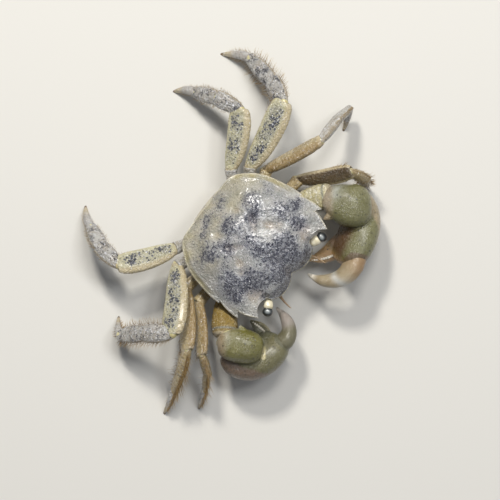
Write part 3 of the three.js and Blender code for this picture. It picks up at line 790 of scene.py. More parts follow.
def backPaint(skin, t, under, front, rear, flank, uneven):
    x, y, onTop = skin[:, 0], skin[:, 1], 1 - under
    blotch = heaped(x, y, backBlotches)
    patchy = 1 + 0.5 * roughness(skin, 0.9, 21.0)
    gutter = hill(np.abs(x), 4.9 - 0.2 * y, 0.9) * hill(y, 0, 5)
    hollow = np.clip(-2.0 * swellings(x, y) - 0.1, 0, 0.8) + 0.4 * gutter
    olive = 0.75 * uneven * hill(x, -9.0, 3.2) * hill(y, 5.5, 4.0)  # a stain on the right flank
    flankEdge = 0.8 * uneven * ease(0.9, 0.95, t) * flank
    rearEdge = (0.6 + 0.6 * (uneven - 1)) * ease(3, 9, y)
    plain = np.maximum.reduce([flankEdge, rearEdge, olive])
    rimPale = np.clip(0.55 + 1.1 * roughness(skin, 0.45, 41.0), 0, 1)
    paleEdge = np.maximum.reduce([rear, 0.7 * flank, 0.7 * ease(10.5, 12, np.abs(x))])
    faint = 0.3 + 0.3 * roughness(skin, 0.35, 51.0)
    # extra dark spots along the front edge: partly the crab's own dots, partly painted shade on the bent-down
    # front
    spots = np.clip(faint + 1.1 * blotch * patchy + 0.6 * front * ease(0.84, 0.92, t), 0, 1)
    return {
        "spots": spots * onTop * (1 - 0.5 * ease(0.9, 0.96, t) * flank),
        "flush": np.clip(0.7 * hollow, 0, 0.6) * onTop,
        "border": np.maximum(plain * onTop, under * 0.8),
        "tip": onTop * ease(0.975, 0.99, t) * rimPale * paleEdge,
    }


def backShape():
    skin, t, under, columns, lowT = backRings()
    onTop = 1 - under
    front, rear, flank = backZones(skin[:, 0], skin[:, 1])
    # a raised rim with a groove inside it at the rear, a front that falls away, and a low ridge along
    # the flanks where they start to fall
    ridge = back["rimRidge"] * (1 - front) * hill(t, 0.988, 0.012)
    skin[:, 2] += onTop * (ridge - back["rearGroove"] * rear * hill(t, 0.955, 0.016))
    skin[:, 2] -= onTop * front * back["frontFall"] * ease(0.86, 1.0, t) ** 1.3
    uneven = 1 + 0.6 * roughness(skin, 0.5, 33.0)
    ridge = back["flankRidge"] * uneven * hill(t, 0.915, 0.014)
    skin[:, 2] += onTop * flank * (ridge - back["flankFall"] * ease(0.915, 0.99, t))
    rough = sum(height * roughness(skin, scale, seed) for scale, seed, height in backGrain)
    skin[:, 2] += onTop * rough * (1 - hill(t, 1, 0.02))
    hollowEyes(skin)
    values = backPaint(skin, t, under, front, rear, flank, uneven)
    crown, floor = [0, back["centre"], backHeight(0.0, back["centre"])], [0, back["centre"], back["belly"]]
    quads, tris = loftFaces(len(skin) // columns, columns)
    shape = {"points": np.vstack([crown, skin, floor]), "quads": quads, "tris": tris}
    shape["values"] = {key: np.concatenate([value[:1], value, value[-1:]]) for key, value in values.items()}
    return facingOut(shape), skin.reshape(-1, columns, 3)[back["topRings"]:], lowT


backSkin, underRows, underReach = backShape()
addPiece("carapaceShell", backSkin, "back", "back_shell", "carapace")
print("back made")


breast = {
    "sutures": [0.2, 0.33, 0.45, 0.57, 0.69, 0.81], "depth": 0.2, "width": 0.011, "bend": 0.05,
    "wave": 0.06, "waves": 60,
}
tail = {
    "seams": [0.13, 0.24, 0.35, 0.46, 0.58, 0.72, 0.86], "depth": 0.16, "step": 0.16, "width": 0.011,
    "keel": 0.08, "seamTone": 0.8, "seamToneWidth": 0.02, "rearTone": 0.75,
}


def cutLines(s, places, width):
    return sum(hill(s, place, width) for place in places)


def breastRelief(s, turn):
    # bent seams between the plates, and faint waves
    bent = s - breast["bend"] * np.abs(np.cos(turn))
    cuts = breast["depth"] * cutLines(bent, breast["sutures"], breast["width"])
    return breast["wave"] * np.cos(bent * breast["waves"]) - cuts


def tailRelief(s, turn):
    # each ring of the tail stands a little over the next
    joints = np.array([0.0] + tail["seams"] + [1.0])
    ring = np.clip(np.searchsorted(joints, s) - 1, 0, len(joints) - 2)
    along = (s - joints[ring]) / (joints[ring + 1] - joints[ring])
    cuts = tail["depth"] * cutLines(s, tail["seams"], tail["width"])
    return tail["step"] * (along - 1) - cuts + tail["keel"] * np.abs(np.sin(turn)) ** 6


def tailPaint(s, turn, points):
    seams = tail["seamTone"] * cutLines(s, tail["seams"], tail["seamToneWidth"])
    rearFace = ease(0.5, 0.2, s)
    stained = np.clip(tail["rearTone"] + roughness(points, 0.6, 61.0), 0, 1) * rearFace
    border = np.maximum(seams, tail["rearTone"] * rearFace)
    return {"spots": stained, "border": border, "tip": np.zeros(len(s))}


breastForm = {
    "path": [(0, -7.3, 6.5), (0, 10.4, 6.5)], "side": (1, 0, 0),
    "wide": [3.6, 6.6, 8.2, 8.6, 8.2, 6.8, 4.6], "deep": [1.2, 1.4, 1.45, 1.45, 1.4, 1.3],
    "square": 3, "rows": 120, "columns": 96, "relief": breastRelief,
}
tailForm = {
    "path": [(0, 12.1, 10.6), (0, 12.3, 8.2), (0, 11.4, 5.5), (0, 8.6, 4.25), (0, 3, 4.15), (0, -3.4, 4.3)],
    "smooth": True, "side": (1, 0, 0), "wide": [3.5, 4.4, 4.1, 3.1, 2.3, 1.7, 1.0], "deep": [0.42, 0.42],
    "square": 2.6, "rows": 130, "columns": 56, "relief": tailRelief,
}
addLimb("breastplate", breastForm, "belly", "belly_shell", "thorax")
addLimb("foldedTail", tailForm, "tail", "belly_shell", "abdomen", paint=tailPaint)
print("belly made")


faceRelief = {
    "feelerRing": 0.035, "feelerRings": 95, "plateSeam": 0.2, "plateFurrow": 0.13, "palpCrease": 0.1,
    "palpCreases": (0.36, 0.66),
}


def feelerRelief(s, turn):
    # many small rings
    return faceRelief["feelerRing"] * np.sin(s * faceRelief["feelerRings"]) * ease(0.2, 0.4, s)


def bothFaces(turn, width):
    return edgeNear(turn, math.pi / 2, width) + edgeNear(turn, -math.pi / 2, width)


def plateRelief(s, turn):
    # a seam across, and a furrow along each face from the root up to it
    furrow = faceRelief["plateFurrow"] * bothFaces(turn, 0.22) * ease(0.06, 0.2, s) * (1 - ease(0.5, 0.6, s))
    return -faceRelief["plateSeam"] * hill(s, 0.6, 0.02) - furrow


def palpRelief(s, turn):
    # the creases between its three pieces
    return -faceRelief["palpCrease"] * cutLines(s, faceRelief["palpCreases"], 0.025)


def platePaint(s, turn, points):
    rim = edgeNear(turn, 0, 0.35) + edgeNear(turn, math.pi, 0.35) + hill(s, 0.6, 0.03)
    return {"spots": 0.55 * np.ones(len(s)), "border": 0.7 * np.clip(rim, 0, 1), "tip": np.zeros(len(s))}


stalk = {"widths": [0.85, 0.94, 1.06, 1.1, 0.92], "reach": 0.68}
# "from" is where the cornea starts between an eye's root and end, and "cap" the heights, in radii
# above its middle, between which its pale top, a painted reflection of the lights above, fades in
cornea = {
    "from": 0.48, "radius": 1.16, "swell": (0.98, 1.0, 1.0, 0.98), "shift": (0.14, -0.05, -0.1),
    "cap": (0.78, 1.04), "capShare": 0.8,
}
feelerWidths = [0.72, 0.5, 0.3, 0.22, 0.17, 0.12]
# the left one of each pair, then its material and slot, the node it stands for and its paint
facePairs = {
    "feeler": ({
        "path": [(5.2, -10.9, 10.9), (5.5, -12.3, 10.6), (5.9, -13.7, 10.1), (6.1, -14.9, 10.0),
                 (6.2, -16.0, 10.6)],
        "smooth": True, "side": up, "wide": feelerWidths, "deep": feelerWidths, "rows": 90, "columns": 12,
        "relief": feelerRelief,
    }, "feeler", "feeler", ["antenna"], plainPaint),
    "smallFeeler": ({
        "path": [(1.1, -10.8, 10.7), (2.2, -12.6, 10.9), (4.1, -12.0, 10.0)], "side": up,
        "wide": [0.4, 0.5, 0.42, 0.2], "deep": [0.4, 0.46, 0.38, 0.2], "rows": 30, "columns": 14,
        "relief": feelerRelief,
    }, "feeler", "feeler", [], plainPaint),
    "mouthPlate": ({
        "path": [(1.95, -6.6, 4.6), (2.2, -9.9, 9.6)], "side": (1, 0, 0),
        "wide": [1.3, 1.65, 1.85, 1.95, 1.7], "deep": [0.65, 0.65], "square": 2.8, "rows": 60, "columns": 48,
        "relief": plateRelief,
    }, "mouth", "mouth_plate", ["maxilliped"], platePaint),
    "mouthPalp": ({
        "path": [(1.9, -10.3, 9.5), (1.5, -11.6, 8.8), (0.9, -9.8, 6.8)], "side": (1, 0, 0),
        "wide": [0.46, 0.46, 0.38, 0.22], "deep": [0.42, 0.42, 0.34, 0.2], "rows": 48, "columns": 18,
        "relief": palpRelief,
    }, "mouth", "mouth_plate", [], plainPaint),
    "innerMouth": ({
        "path": [(0.9, -6.7, 5.2), (0.95, -9.7, 9.5)], "side": (1, 0, 0), "wide": [0.7, 0.9, 0.9, 0.8],
        "deep": [0.4, 0.4], "rows": 40, "columns": 24, "relief": palpRelief,
    }, "feeler", "mouth_plate", [], plainPaint),
}
mouthRim = {
    "path": [(-3.9, -6.6, 5.8), (-4.3, -8.6, 8.0), (-3.5, -10.5, 9.6), (0, -11.0, 10.0), (3.5, -10.5, 9.6),
             (4.3, -8.6, 8.0), (3.9, -6.6, 5.8)],
    "smooth": True, "side": (0, 0.6, -0.8), "wide": [0.3, 0.34, 0.4, 0.34, 0.4, 0.34, 0.3],
    "deep": [0.34, 0.34], "rows": 120, "columns": 18,
}


def makeEye(side, sign):
    root, end = np.array(eyes[side])
    stem = {
        "path": [root, root + (end - root) * stalk["reach"]], "side": up, "wide": stalk["widths"],
        "deep": stalk["widths"], "blunt": 3,
    }
    addLimb(f"eyeStalk_{side}", stem, "stalk", "eye", f"eye_{side}")
    radii = [cornea["radius"] * share for share in cornea["swell"]]
    lens = limbShape({
        "path": [root + (end - root) * cornea["from"], end], "side": up, "wide": radii, "deep": radii,
        "rows": 32, "columns": 36, "blunt": 2.1,
    })
    lens["points"] += np.array(cornea["shift"]) * [sign, 1, 1]
    height = (lens["points"][:, 2] - lens["points"][:, 2].mean()) / cornea["radius"]
    # a pale top painted as the reflection of the lights above
    lens["values"] = {"pale": cornea["capShare"] * ease(*cornea["cap"], height)}
    addPiece(f"cornea_{side}", lens, "cornea", "eye")


for side, sign in sides:
    makeEye(side, sign)
    for name, (form, finish, slot, nodes, paint) in facePairs.items():
        mirrored = {**form, "path": np.array(form["path"]) * [sign, 1, 1]}
        addLimb(f"{name}_{side}", mirrored, finish, slot, *[f"{node}_{side}" for node in nodes], paint=paint)
addLimb("mouthRim", mouthRim, "mouth", "mouth_plate")
print("face made")


def geometryGroup(name, inputs):
    every = {"Geometry": "NodeSocketGeometry", **inputs, "Seed": 1, "Material": "NodeSocketMaterial"}
    return nodeGroup(name, "Geometry", every, "Geometry", "NodeSocketGeometry")


def rowSpots(tree, given):
    # evenly spaced places along the guide lines
    lines = addNode(tree, "GeometryNodeMeshToCurve", {"Mesh": given["Geometry"]}).outputs[0]
    inputs = {"Curve": lines, "Length": given["Spacing"]}
    return addNode(tree, "GeometryNodeResampleCurve", inputs, mode="LENGTH").outputs[0]


def lineValue(tree, name, kind):
    return addNode(tree, "GeometryNodeInputNamedAttribute", {"Name": name}, data_type=kind).outputs[0]


def standing(tree, given, spots, thing, lie, sizes):
    # the thing at every spot, turned to lie, scaled, made solid and given its material
    turned = addNode(tree, "FunctionNodeAlignRotationToVector", {"Vector": lie}, axis="Z").outputs[0]
    scale = addNode(tree, "ShaderNodeCombineXYZ", dict(zip("XYZ", sizes))).outputs[0]
    placed = addNode(tree, "GeometryNodeInstanceOnPoints", {
        "Points": spots, "Instance": thing, "Rotation": turned, "Scale": scale,
    })
    solid = addNode(tree, "GeometryNodeRealizeInstances", {"Geometry": placed.outputs[0]}).outputs[0]
    dressed = {"Geometry": solid, "Material": given["Material"]}
    return addNode(tree, "GeometryNodeSetMaterial", dressed).outputs[0]


hair = {"tip": 0.15, "segments": 4, "curl": 4.0, "shortest": 0.45, "longest": 1.1}
bead = {"segments": 10, "rings": 7, "smallest": 0.7, "largest": 1.15, "tall": 1.15}


def makeHairTree():
    # tapered hairs, curved more towards the tip, in the length that the line's points say
    tree, given, out = geometryGroup("bristleRow", {
        "Spacing": 0.3 * mm, "Length": 1.2 * mm, "Thickness": 0.04 * mm, "Scatter": 0.1 * mm, "Spread": 0.3,
    })

    def chance(low, high, step):
        inputs = {0: low, 1: high, "Seed": calculate(tree, "ADD", given["Seed"], step)}
        return addNode(tree, "FunctionNodeRandomValue", inputs, data_type="FLOAT_VECTOR").outputs[0]

    def astray(step, reach):
        return vectorMath(tree, "SCALE", chance((-1, -1, -1), (1, 1, 1), step), given[reach])

    spots = {"Geometry": rowSpots(tree, given), "Offset": astray(1, "Scatter")}
    spots = addNode(tree, "GeometryNodeSetPosition", spots).outputs[0]
    leaning = vectorMath(tree, "ADD", lineValue(tree, "lie", "FLOAT_VECTOR"), astray(2, "Spread"))
    cone = addNode(tree, "GeometryNodeMeshCone", {
        "Vertices": 3, "Side Segments": hair["segments"], "Radius Top": hair["tip"], "Radius Bottom": 1.0,
        "Depth": 1.0,
    })
    place = addNode(tree, "GeometryNodeInputPosition").outputs[0]
    along = addNode(tree, "ShaderNodeSeparateXYZ", {0: place}).outputs["Z"]
    curl = times(tree, calculate(tree, "POWER", along, 2.0), hair["curl"])
    bend = addNode(tree, "ShaderNodeCombineXYZ", {"X": curl}).outputs[0]
    bent = addNode(tree, "GeometryNodeSetPosition", {"Geometry": cone.outputs["Mesh"], "Offset": bend})
    marked = addNode(tree, "GeometryNodeStoreNamedAttribute", {
        "Geometry": bent.outputs[0], "Name": "hairAlong", "Value": along,
    }, data_type="FLOAT", domain="POINT")
    luck = chance((hair["shortest"], 0, 0), (hair["longest"], 1, 1), 3)
    luck = addNode(tree, "ShaderNodeSeparateXYZ", {0: luck}).outputs["X"]
    tall = times(tree, times(tree, luck, lineValue(tree, "hairSize", "FLOAT")), given["Length"])
    sizes = (given["Thickness"], given["Thickness"], tall)
    tree.links.new(standing(tree, given, spots, marked.outputs[0], leaning, sizes), out)
    return tree


def makeToothTree():
    # rounded teeth along guide lines, in the size that the line's points say
    tree, given, out = geometryGroup("toothRow", {"Spacing": 0.6 * mm, "Size": 0.4 * mm})
    ball = addNode(tree, "GeometryNodeMeshUVSphere", {
        "Segments": bead["segments"], "Rings": bead["rings"], "Radius": 1.0,
    })
    luck = {2: bead["smallest"], 3: bead["largest"], "Seed": given["Seed"]}
    luck = addNode(tree, "FunctionNodeRandomValue", luck, data_type="FLOAT").outputs[1]
    grown = times(tree, times(tree, luck, lineValue(tree, "hairSize", "FLOAT")), given["Size"])
    sizes = (grown, grown, times(tree, grown, bead["tall"]))
    lie = lineValue(tree, "lie", "FLOAT_VECTOR")
    teeth = standing(tree, given, rowSpots(tree, given), ball.outputs["Mesh"], lie, sizes)
    tree.links.new(addNode(tree, "GeometryNodeSetShadeSmooth", {"Geometry": teeth}).outputs[0], out)
    return tree


hairTree, toothTree = makeHairTree(), makeToothTree()
lineSteps = 24


def guideLine(form, turn, fromS, toS, lean, size, tile=0.0):
    # a line on a limb's skin for bristles to stand on; lean is how far they lie towards the tip
    s, around = np.linspace(fromS, toS, lineSteps), np.full(lineSteps, float(turn))
    points = limbSurface(form, s, around, np.ones(lineSteps))
    centre, run, side, face = limbFrame(form, s)
    out = side * np.cos(around)[:, None] + face * np.sin(around)[:, None]
    places = np.stack([tile + 0.2 * (around / (2 * math.pi) % 1), s, np.zeros(lineSteps)], -1)
    sizes = np.interp(np.linspace(0, 1, lineSteps), np.linspace(0, 1, len(size)), size)
    return {"points": points, "lie": unit(out + run * lean), "place": places, "size": sizes}


def mapHairs(mesh):
    # each bristle is a small patch at its root's place on the limb's unrolled skin
    patch = 0.003
    count = len(mesh.vertices)
    roots, along = np.zeros(count * 3, np.float32), np.zeros(count, np.float32)
    mesh.attributes["place"].data.foreach_get("vector", roots)
    mesh.attributes["hairAlong"].data.foreach_get("value", along)
    corners = np.zeros(len(mesh.loops), np.int32)
    mesh.loops.foreach_get("vertex_index", corners)
    spot = roots.reshape(-1, 3)[corners, :2]
    spot[:, 0] += patch * (corners % 3) / 2
    spot[:, 1] += patch * along[corners]
    for layer in list(mesh.uv_layers):
        mesh.uv_layers.remove(layer)
    mesh.uv_layers.new(name="OFBake").data.foreach_set("uv", spot.astype(np.float32).ravel())


def growRows(name, lines, tree, material, slot, **inputs):
    # runs a tree on guide lines and keeps the result as one plain mesh
    mesh = bpy.data.meshes.new(name + "Guide")
    edges, start = [], 0
    for line in lines:
        stop = start + len(line["points"])
        edges += [(i, i + 1) for i in range(start, stop - 1)]
        start = stop
    points = np.concatenate([line["points"] for line in lines])
    mesh.from_pydata((points * mm + crabOrigin).tolist(), edges, [])
    for key in ("lie", "place"):
        paintPoints(mesh, key, "FLOAT_VECTOR", "vector", np.concatenate([line[key] for line in lines]))
    paintPoints(mesh, "hairSize", "FLOAT", "value", np.concatenate([line["size"] for line in lines]))
    guide = linked(name + "Guide", mesh)
    modifier = guide.modifiers.new("rows", "NODES")
    modifier.node_group = tree
    inputs["Material"] = materials[material]
    for item in tree.interface.items_tree:
        if item.in_out == "INPUT" and item.name in inputs:
            modifier[item.identifier] = inputs[item.name]
    depsgraph = bpy.context.evaluated_depsgraph_get()
    made = bpy.data.meshes.new_from_object(guide.evaluated_get(depsgraph))
    made.name = name
    bpy.data.objects.remove(guide)
    places = np.zeros(len(made.vertices) * 3, np.float32)
    made.vertices.foreach_get("co", places)
    made.vertices.foreach_set("co", insideBox(places.reshape(-1, 3)).astype(np.float32).ravel())
    if tree == hairTree:
        mapHairs(made)
    declare(linked(name, made), slot)


def faceRow(points, lie, size):
    # a guide line through given points, with all its bristles lying one way
    count = len(points)
    places = np.stack([np.full(count, 0.1), np.linspace(0, 1, count), np.zeros(count)], -1)
    lies = unit(np.zeros((count, 3)) + lie)
    return {"points": points, "lie": lies, "place": places, "size": np.full(count, size)}


def underRow(reach, low, high, sign):
    # a stretch of the shell's underside, from low to high beside the midline
    row = underRows[np.argmin(np.abs(underReach - reach))]
    row = row[(row[:, 1] < -4) & (row[:, 0] * sign > low) & (row[:, 0] * sign < high)]
    return row[np.argsort(row[:, 0])]


# "reach" is a row's place between the middle (0) and the rim (1), "stretch" its ends beside the midline
brow = {"reach": 0.925, "stretch": (6.3, 12.6)}
cheek = {"reaches": (0.6, 0.66, 0.72, 0.78, 0.84), "stretch": (4.6, 10.5)}
browLines, cheekLines, mouthLines = [], [], []
for side, sign in sides:
    browLines.append(faceRow(underRow(brow["reach"], *brow["stretch"], sign), (0, -0.6, -0.8), 1.0))
    for reach in cheek["reaches"]:
        cheekRow = underRow(reach, *cheek["stretch"], sign)
        cheekLines.append(faceRow(cheekRow, (-0.3 * sign, -0.5, -0.6), 1.0))
    rimSide = throughValues(mouthRim["path"], np.linspace(0.02, 0.3, lineSteps)) * [-sign, 1, 1]
    mouthLines.append(faceRow(rimSide + [0, -0.3, -0.2], (-0.5 * sign, -0.8, -0.5), 1.0))
    plateSide = np.linspace((0.5 * sign, -7.2, 5.0), (0.5 * sign, -9.9, 8.8), lineSteps)
    mouthLines.append(faceRow(plateSide, (-0.4 * sign, -0.8, -0.3), 0.8))
growRows(
    "browGranules", browLines, toothTree, "back", "back_shell", Spacing=0.5 * mm, Size=0.24 * mm, Seed=11,
)
growRows(
    "cheekBristles", cheekLines, hairTree, "hair", "back_shell",
    Spacing=0.3 * mm, Length=0.7 * mm, Thickness=0.03 * mm, Scatter=0.25 * mm, Spread=0.4, Seed=13,
)
growRows(
    "mouthBristles", mouthLines, hairTree, "hair", "mouth_plate",
    Spacing=0.14 * mm, Length=0.9 * mm, Thickness=0.03 * mm, Scatter=0.1 * mm, Spread=0.35, Seed=12,
)
print("face dressed")


legSizes = [
    {"rank": 1, "merus": 13.2, "carpus": 5.6, "propodus": 6.6, "dactyl": 6.6, "wide": 4.4, "thick": 2.1},
    {"rank": 2, "merus": 15.2, "carpus": 6.2, "propodus": 7.5, "dactyl": 7.4, "wide": 4.8, "thick": 2.5},
    {"rank": 3, "merus": 16.4, "carpus": 6.4, "propodus": 8.4, "dactyl": 8.0, "wide": 6.0, "thick": 2.6},
    {"rank": 4, "merus": 13.5, "carpus": 5.9, "propodus": 7.2, "dactyl": 6.9, "wide": 5.4, "thick": 2.5},
]
# hip place, then (turn, pitch) of merus, carpus and propodus, and the turn of the dactyl
legPoses = {
    "left": [
        ((16.9, 0.1, 7.1), (-44, 26), (-80, -50), (-135, -80), -150),
        ((14.3, 6.9, 7.8), (-25, 25), (0, -22), (-8, -60), -155),
        ((12.6, 9.9, 9.2), (10, 11), (65, -36), (80, -30), 118),
        ((9.7, 12.9, 9.4), (28, 8), (100, -16), (111, -45), 124),
    ],
    "right": [
        ((-17.4, 1.0, 7.4), (-138, 28), (-127, -42), (-151, -54), -160),
        ((-16.6, 5.2, 7.2), (-140, 26), (-159, -38), (-163, -50), -166),
        ((-13.8, 9.6, 9.2), (-146, 23), (127, -27), (132, -45), 45),
        ((-11.0, 11.9, 9.3), (144, 12), (82, -23), (66, -44), 54),
    ],
}
legRoots = [(7.6, 0.6, 6.3), (7.6, 3.4, 6.5), (6.9, 6.2, 6.7), (5.6, 8.6, 6.9)]
footPress = 0.22  # how far the dactyl's line ends below the floor, where the foot is flat
# per leg: material of merus, of carpus and propodus, dot strength, then the bristles' length and gap
# and how far they lie towards the tip
legLooks = {
    ("left", 1): ("shadedLeg", "tanLeg", 0.3, 1.4, 0.3, 0.7),
    ("left", 2): ("tanLeg", "greyLeg", 0.4, 0.8, 0.4, 0.4),
    ("left", 3): ("paleLeg", "greyLeg", 1.0, 2.3, 0.42, 0.35),
    ("left", 4): ("paleLeg", "greyLeg", 0.9, 0.9, 0.5, 0.4),
    ("right", 1): ("tanLeg", "tanLeg", 0.3, 3.0, 0.24, 1.5),
    ("right", 2): ("tanLeg", "tanLeg", 0.4, 3.6, 0.2, 1.6),
    ("right", 3): ("paleLeg", "greyLeg", 0.95, 2.2, 0.36, 0.5),
    ("right", 4): ("paleLeg", "greyLeg", 0.95, 0.9, 0.5, 0.4),
}


legRelief = {
    "merusBead": 0.13, "carpusBead": 0.12, "propodusBead": 0.07, "lip": 0.12, "lipGroove": 0.1,
    "baseRim": 0.14, "baseSeam": 0.16, "baseCrease": 0.12, "merusGroove": 0.07, "carpusRidge": 0.08,
    "propodusFurrow": 0.09, "flute": 0.06,
}


def wavyCrest(s, turn, beads, height):
    # a row of low beads along the crest, which lies at turn 0
    wave = np.maximum(0, np.sin(s * beads * 2 * math.pi)) ** 2
    return height * wave * edgeNear(turn, 0, 0.22) * ease(0.03, 0.15, s)


def distalLip(s):
    # a raised rim at the far end, with a groove behind it
    return legRelief["lip"] * ease(0.9, 0.97, s) - legRelief["lipGroove"] * hill(s, 0.885, 0.022)


def baseRelief(s, turn):
    # a raised end and the two seams of the short pieces at a limb's root
    seams = legRelief["baseSeam"] * hill(s, 0.5, 0.03) + legRelief["baseCrease"] * hill(s, 0.62, 0.02)
    return legRelief["baseRim"] * hill(s, 0.97, 0.05) - seams


def merusRelief(s, turn):
    # beads, a lip, grooves on both sides of the crest and one along the opposite edge
    groove = edgeNear(turn, 0.72, 0.13) + edgeNear(turn, -0.72, 0.13) + edgeNear(turn, math.pi, 0.2)
    groove = legRelief["merusGroove"] * groove * ease(0.05, 0.2, s)
    return wavyCrest(s, turn, 16, legRelief["merusBead"]) + distalLip(s) - groove


def carpusRelief(s, turn):
    ridge = legRelief["carpusRidge"] * bothFaces(turn, 0.3) * ease(0.1, 0.3, s)
    return wavyCrest(s, turn, 6, legRelief["carpusBead"]) + distalLip(s) + ridge


def propodusRelief(s, turn):
    furrow = legRelief["propodusFurrow"] * bothFaces(turn, 0.2) * ease(0.05, 0.25, s)
    return wavyCrest(s, turn, 8, legRelief["propodusBead"]) + distalLip(s) - furrow


def dactylRelief(s, turn):
    # four flutes along the claw-like tip
    return np.cos(turn * 4) * legRelief["flute"] * ease(0.02, 0.2, s) * (1 - ease(0.75, 0.95, s))


def merusPaint(strength):
    # dots along the middle of each face, plain edges and a tan strip along the crest
    def paint(s, turn, points):
        middle = 1 - np.clip(np.abs(np.cos(turn)) / 0.8, 0, 1) ** 3
        edge = ease(0.8, 0.94, np.abs(np.cos(turn)))
        tan = 0.9 * ease(0.38, 0.74, np.cos(turn))
        spots = strength * middle * ease(0.02, 0.2, s) * (1 - 0.6 * ease(0.85, 0.97, s))
        spots = spots * (1 - tan) * (1 + 0.5 * roughness(points, 0.45, 4.0))
        return {
            "spots": np.clip(spots, 0, 1), "tip": 0.3 * ease(0.95, 1.0, s),
            "border": np.maximum.reduce([tan, 0.7 * edge, ease(0.12, 0.02, s)]),
        }
    return paint


def carpusPaint(strength):
    # dots all over but on the two edges
    def paint(s, turn, points):
        edge = ease(0.86, 0.97, np.abs(np.cos(turn)))
        spots = 0.78 * strength * (1 - edge) * (1 + 0.6 * roughness(points, 0.8, 8.0))
        return {"spots": np.clip(spots, 0, 1), "border": 0.6 * edge, "tip": np.zeros(len(s))}
    return paint


def dactylPaint(s, turn, points):
    spots, border = 0.5 * (1 - ease(0.5, 0.8, s)), 0.7 * ease(0.45, 0.75, s)
    return {"spots": spots, "border": border, "tip": ease(0.86, 0.95, s)}


legBase = {
    "after": 0.4, "wide": [1.35, 1.5, 1.35, 1.3, 1.45], "deep": [1.6, 1.5, 1.3, 1.3, 1.45],
    "relief": baseRelief, "socket": 0.6, "mouth": 0.1, "rows": 36, "columns": 26,
}
# "wide" and "deep" are shares of the leg's half width and half thickness, but mm on the dactyl;
# "before" and "after" say how far a segment reaches past its two joints
legForms = {
    "merus": {
        "before": 0.6, "after": 0.35, "wide": [0.5, 0.8, 0.95, 1, 0.92], "deep": [0.85, 0.95, 1, 0.98, 0.9],
        "lift": [0, 0.35, 0.5, 0.35, 0], "relief": merusRelief, "socket": 0.7, "mouth": 0.34,
        "rows": 110, "columns": 44,
    },
    "carpus": {
        "before": 0.65, "after": 0.35, "wide": [0.4, 0.56, 0.68, 0.72, 0.68],
        "deep": [0.62, 0.82, 0.92, 0.9, 0.82], "relief": carpusRelief, "socket": 0.6, "mouth": 0.12,
        "rows": 64, "columns": 40,
    },
    "propodus": {
        "before": 0.65, "after": 0.25, "wide": [0.5, 0.64, 0.66, 0.58, 0.46],
        "deep": [0.6, 0.78, 0.8, 0.7, 0.56], "relief": propodusRelief, "socket": 0.5, "mouth": 0.14,
        "rows": 72, "columns": 40,
    },
    "dactyl": {
        "before": 0.5, "after": 0, "wide": [1.0, 0.98, 0.8, 0.56, 0.32], "deep": [0.8, 0.8, 0.66, 0.48, 0.3],
        "lift": [0, 0.25, 0.35, 0.25, 0], "relief": dactylRelief, "blunt": 7, "rows": 56, "columns": 32,
    },
}
# part, the edges with hairs, where they start and stop, their extra lean, and their length along it
legFringes = [
    ("merus", (math.pi,), (0.7, 0.95), 0.5, (0.3, 0.6)),
    ("carpus", (0.0, math.pi), (0.15, 0.95), 0.0, (0.4, 0.7, 0.9)),
    ("propodus", (0.0, math.pi), (0.08, 0.95), 0.1, (0.8, 1.0, 0.7)),
    ("dactyl", (0.0, math.pi), (0.08, 0.7), 0.5, (0.6, 0.45, 0.25)),
]
fringe = {"offsets": (-0.16, 0.14), "thickness": 0.055, "scatter": 0.14, "spread": 0.36}
knuckle = {"hip": 1.05, "shares": (0.36, 0.36, 0.28), "flat": 0.7}
legDetail = {"uneven": 0.03, "scale": 1.4, "twist": (0.35, 0.15, 0.1, 0.05)}


def legChain(side, sign, index):
    # joints from hip to tip, the directions between them, and where the crest of each segment points
    size, (hip, *turns, lastTurn) = legSizes[index], legPoses[side][index]
    joints, runs = [np.array(hip, float)], [heading(*turn) for turn in turns]
    for run, part in zip(runs, ("merus", "carpus", "propodus")):
        joints.append(joints[-1] + run * size[part])
    drop = math.degrees(math.asin((joints[3][2] + footPress) / size["dactyl"]))
    runs.append(heading(lastTurn, -drop))
    joints.append(joints[3] + runs[3] * size["dactyl"])
    plane = unit(np.cross(joints[1] - joints[0], joints[4] - joints[0]))
    if plane[1] + plane[2] < 0:
        plane = -plane
    twists = zip(runs, legDetail["twist"])
    return joints, runs, [unit(np.cross(run, plane + (up - plane) * twist)) * sign for run, twist in twists]


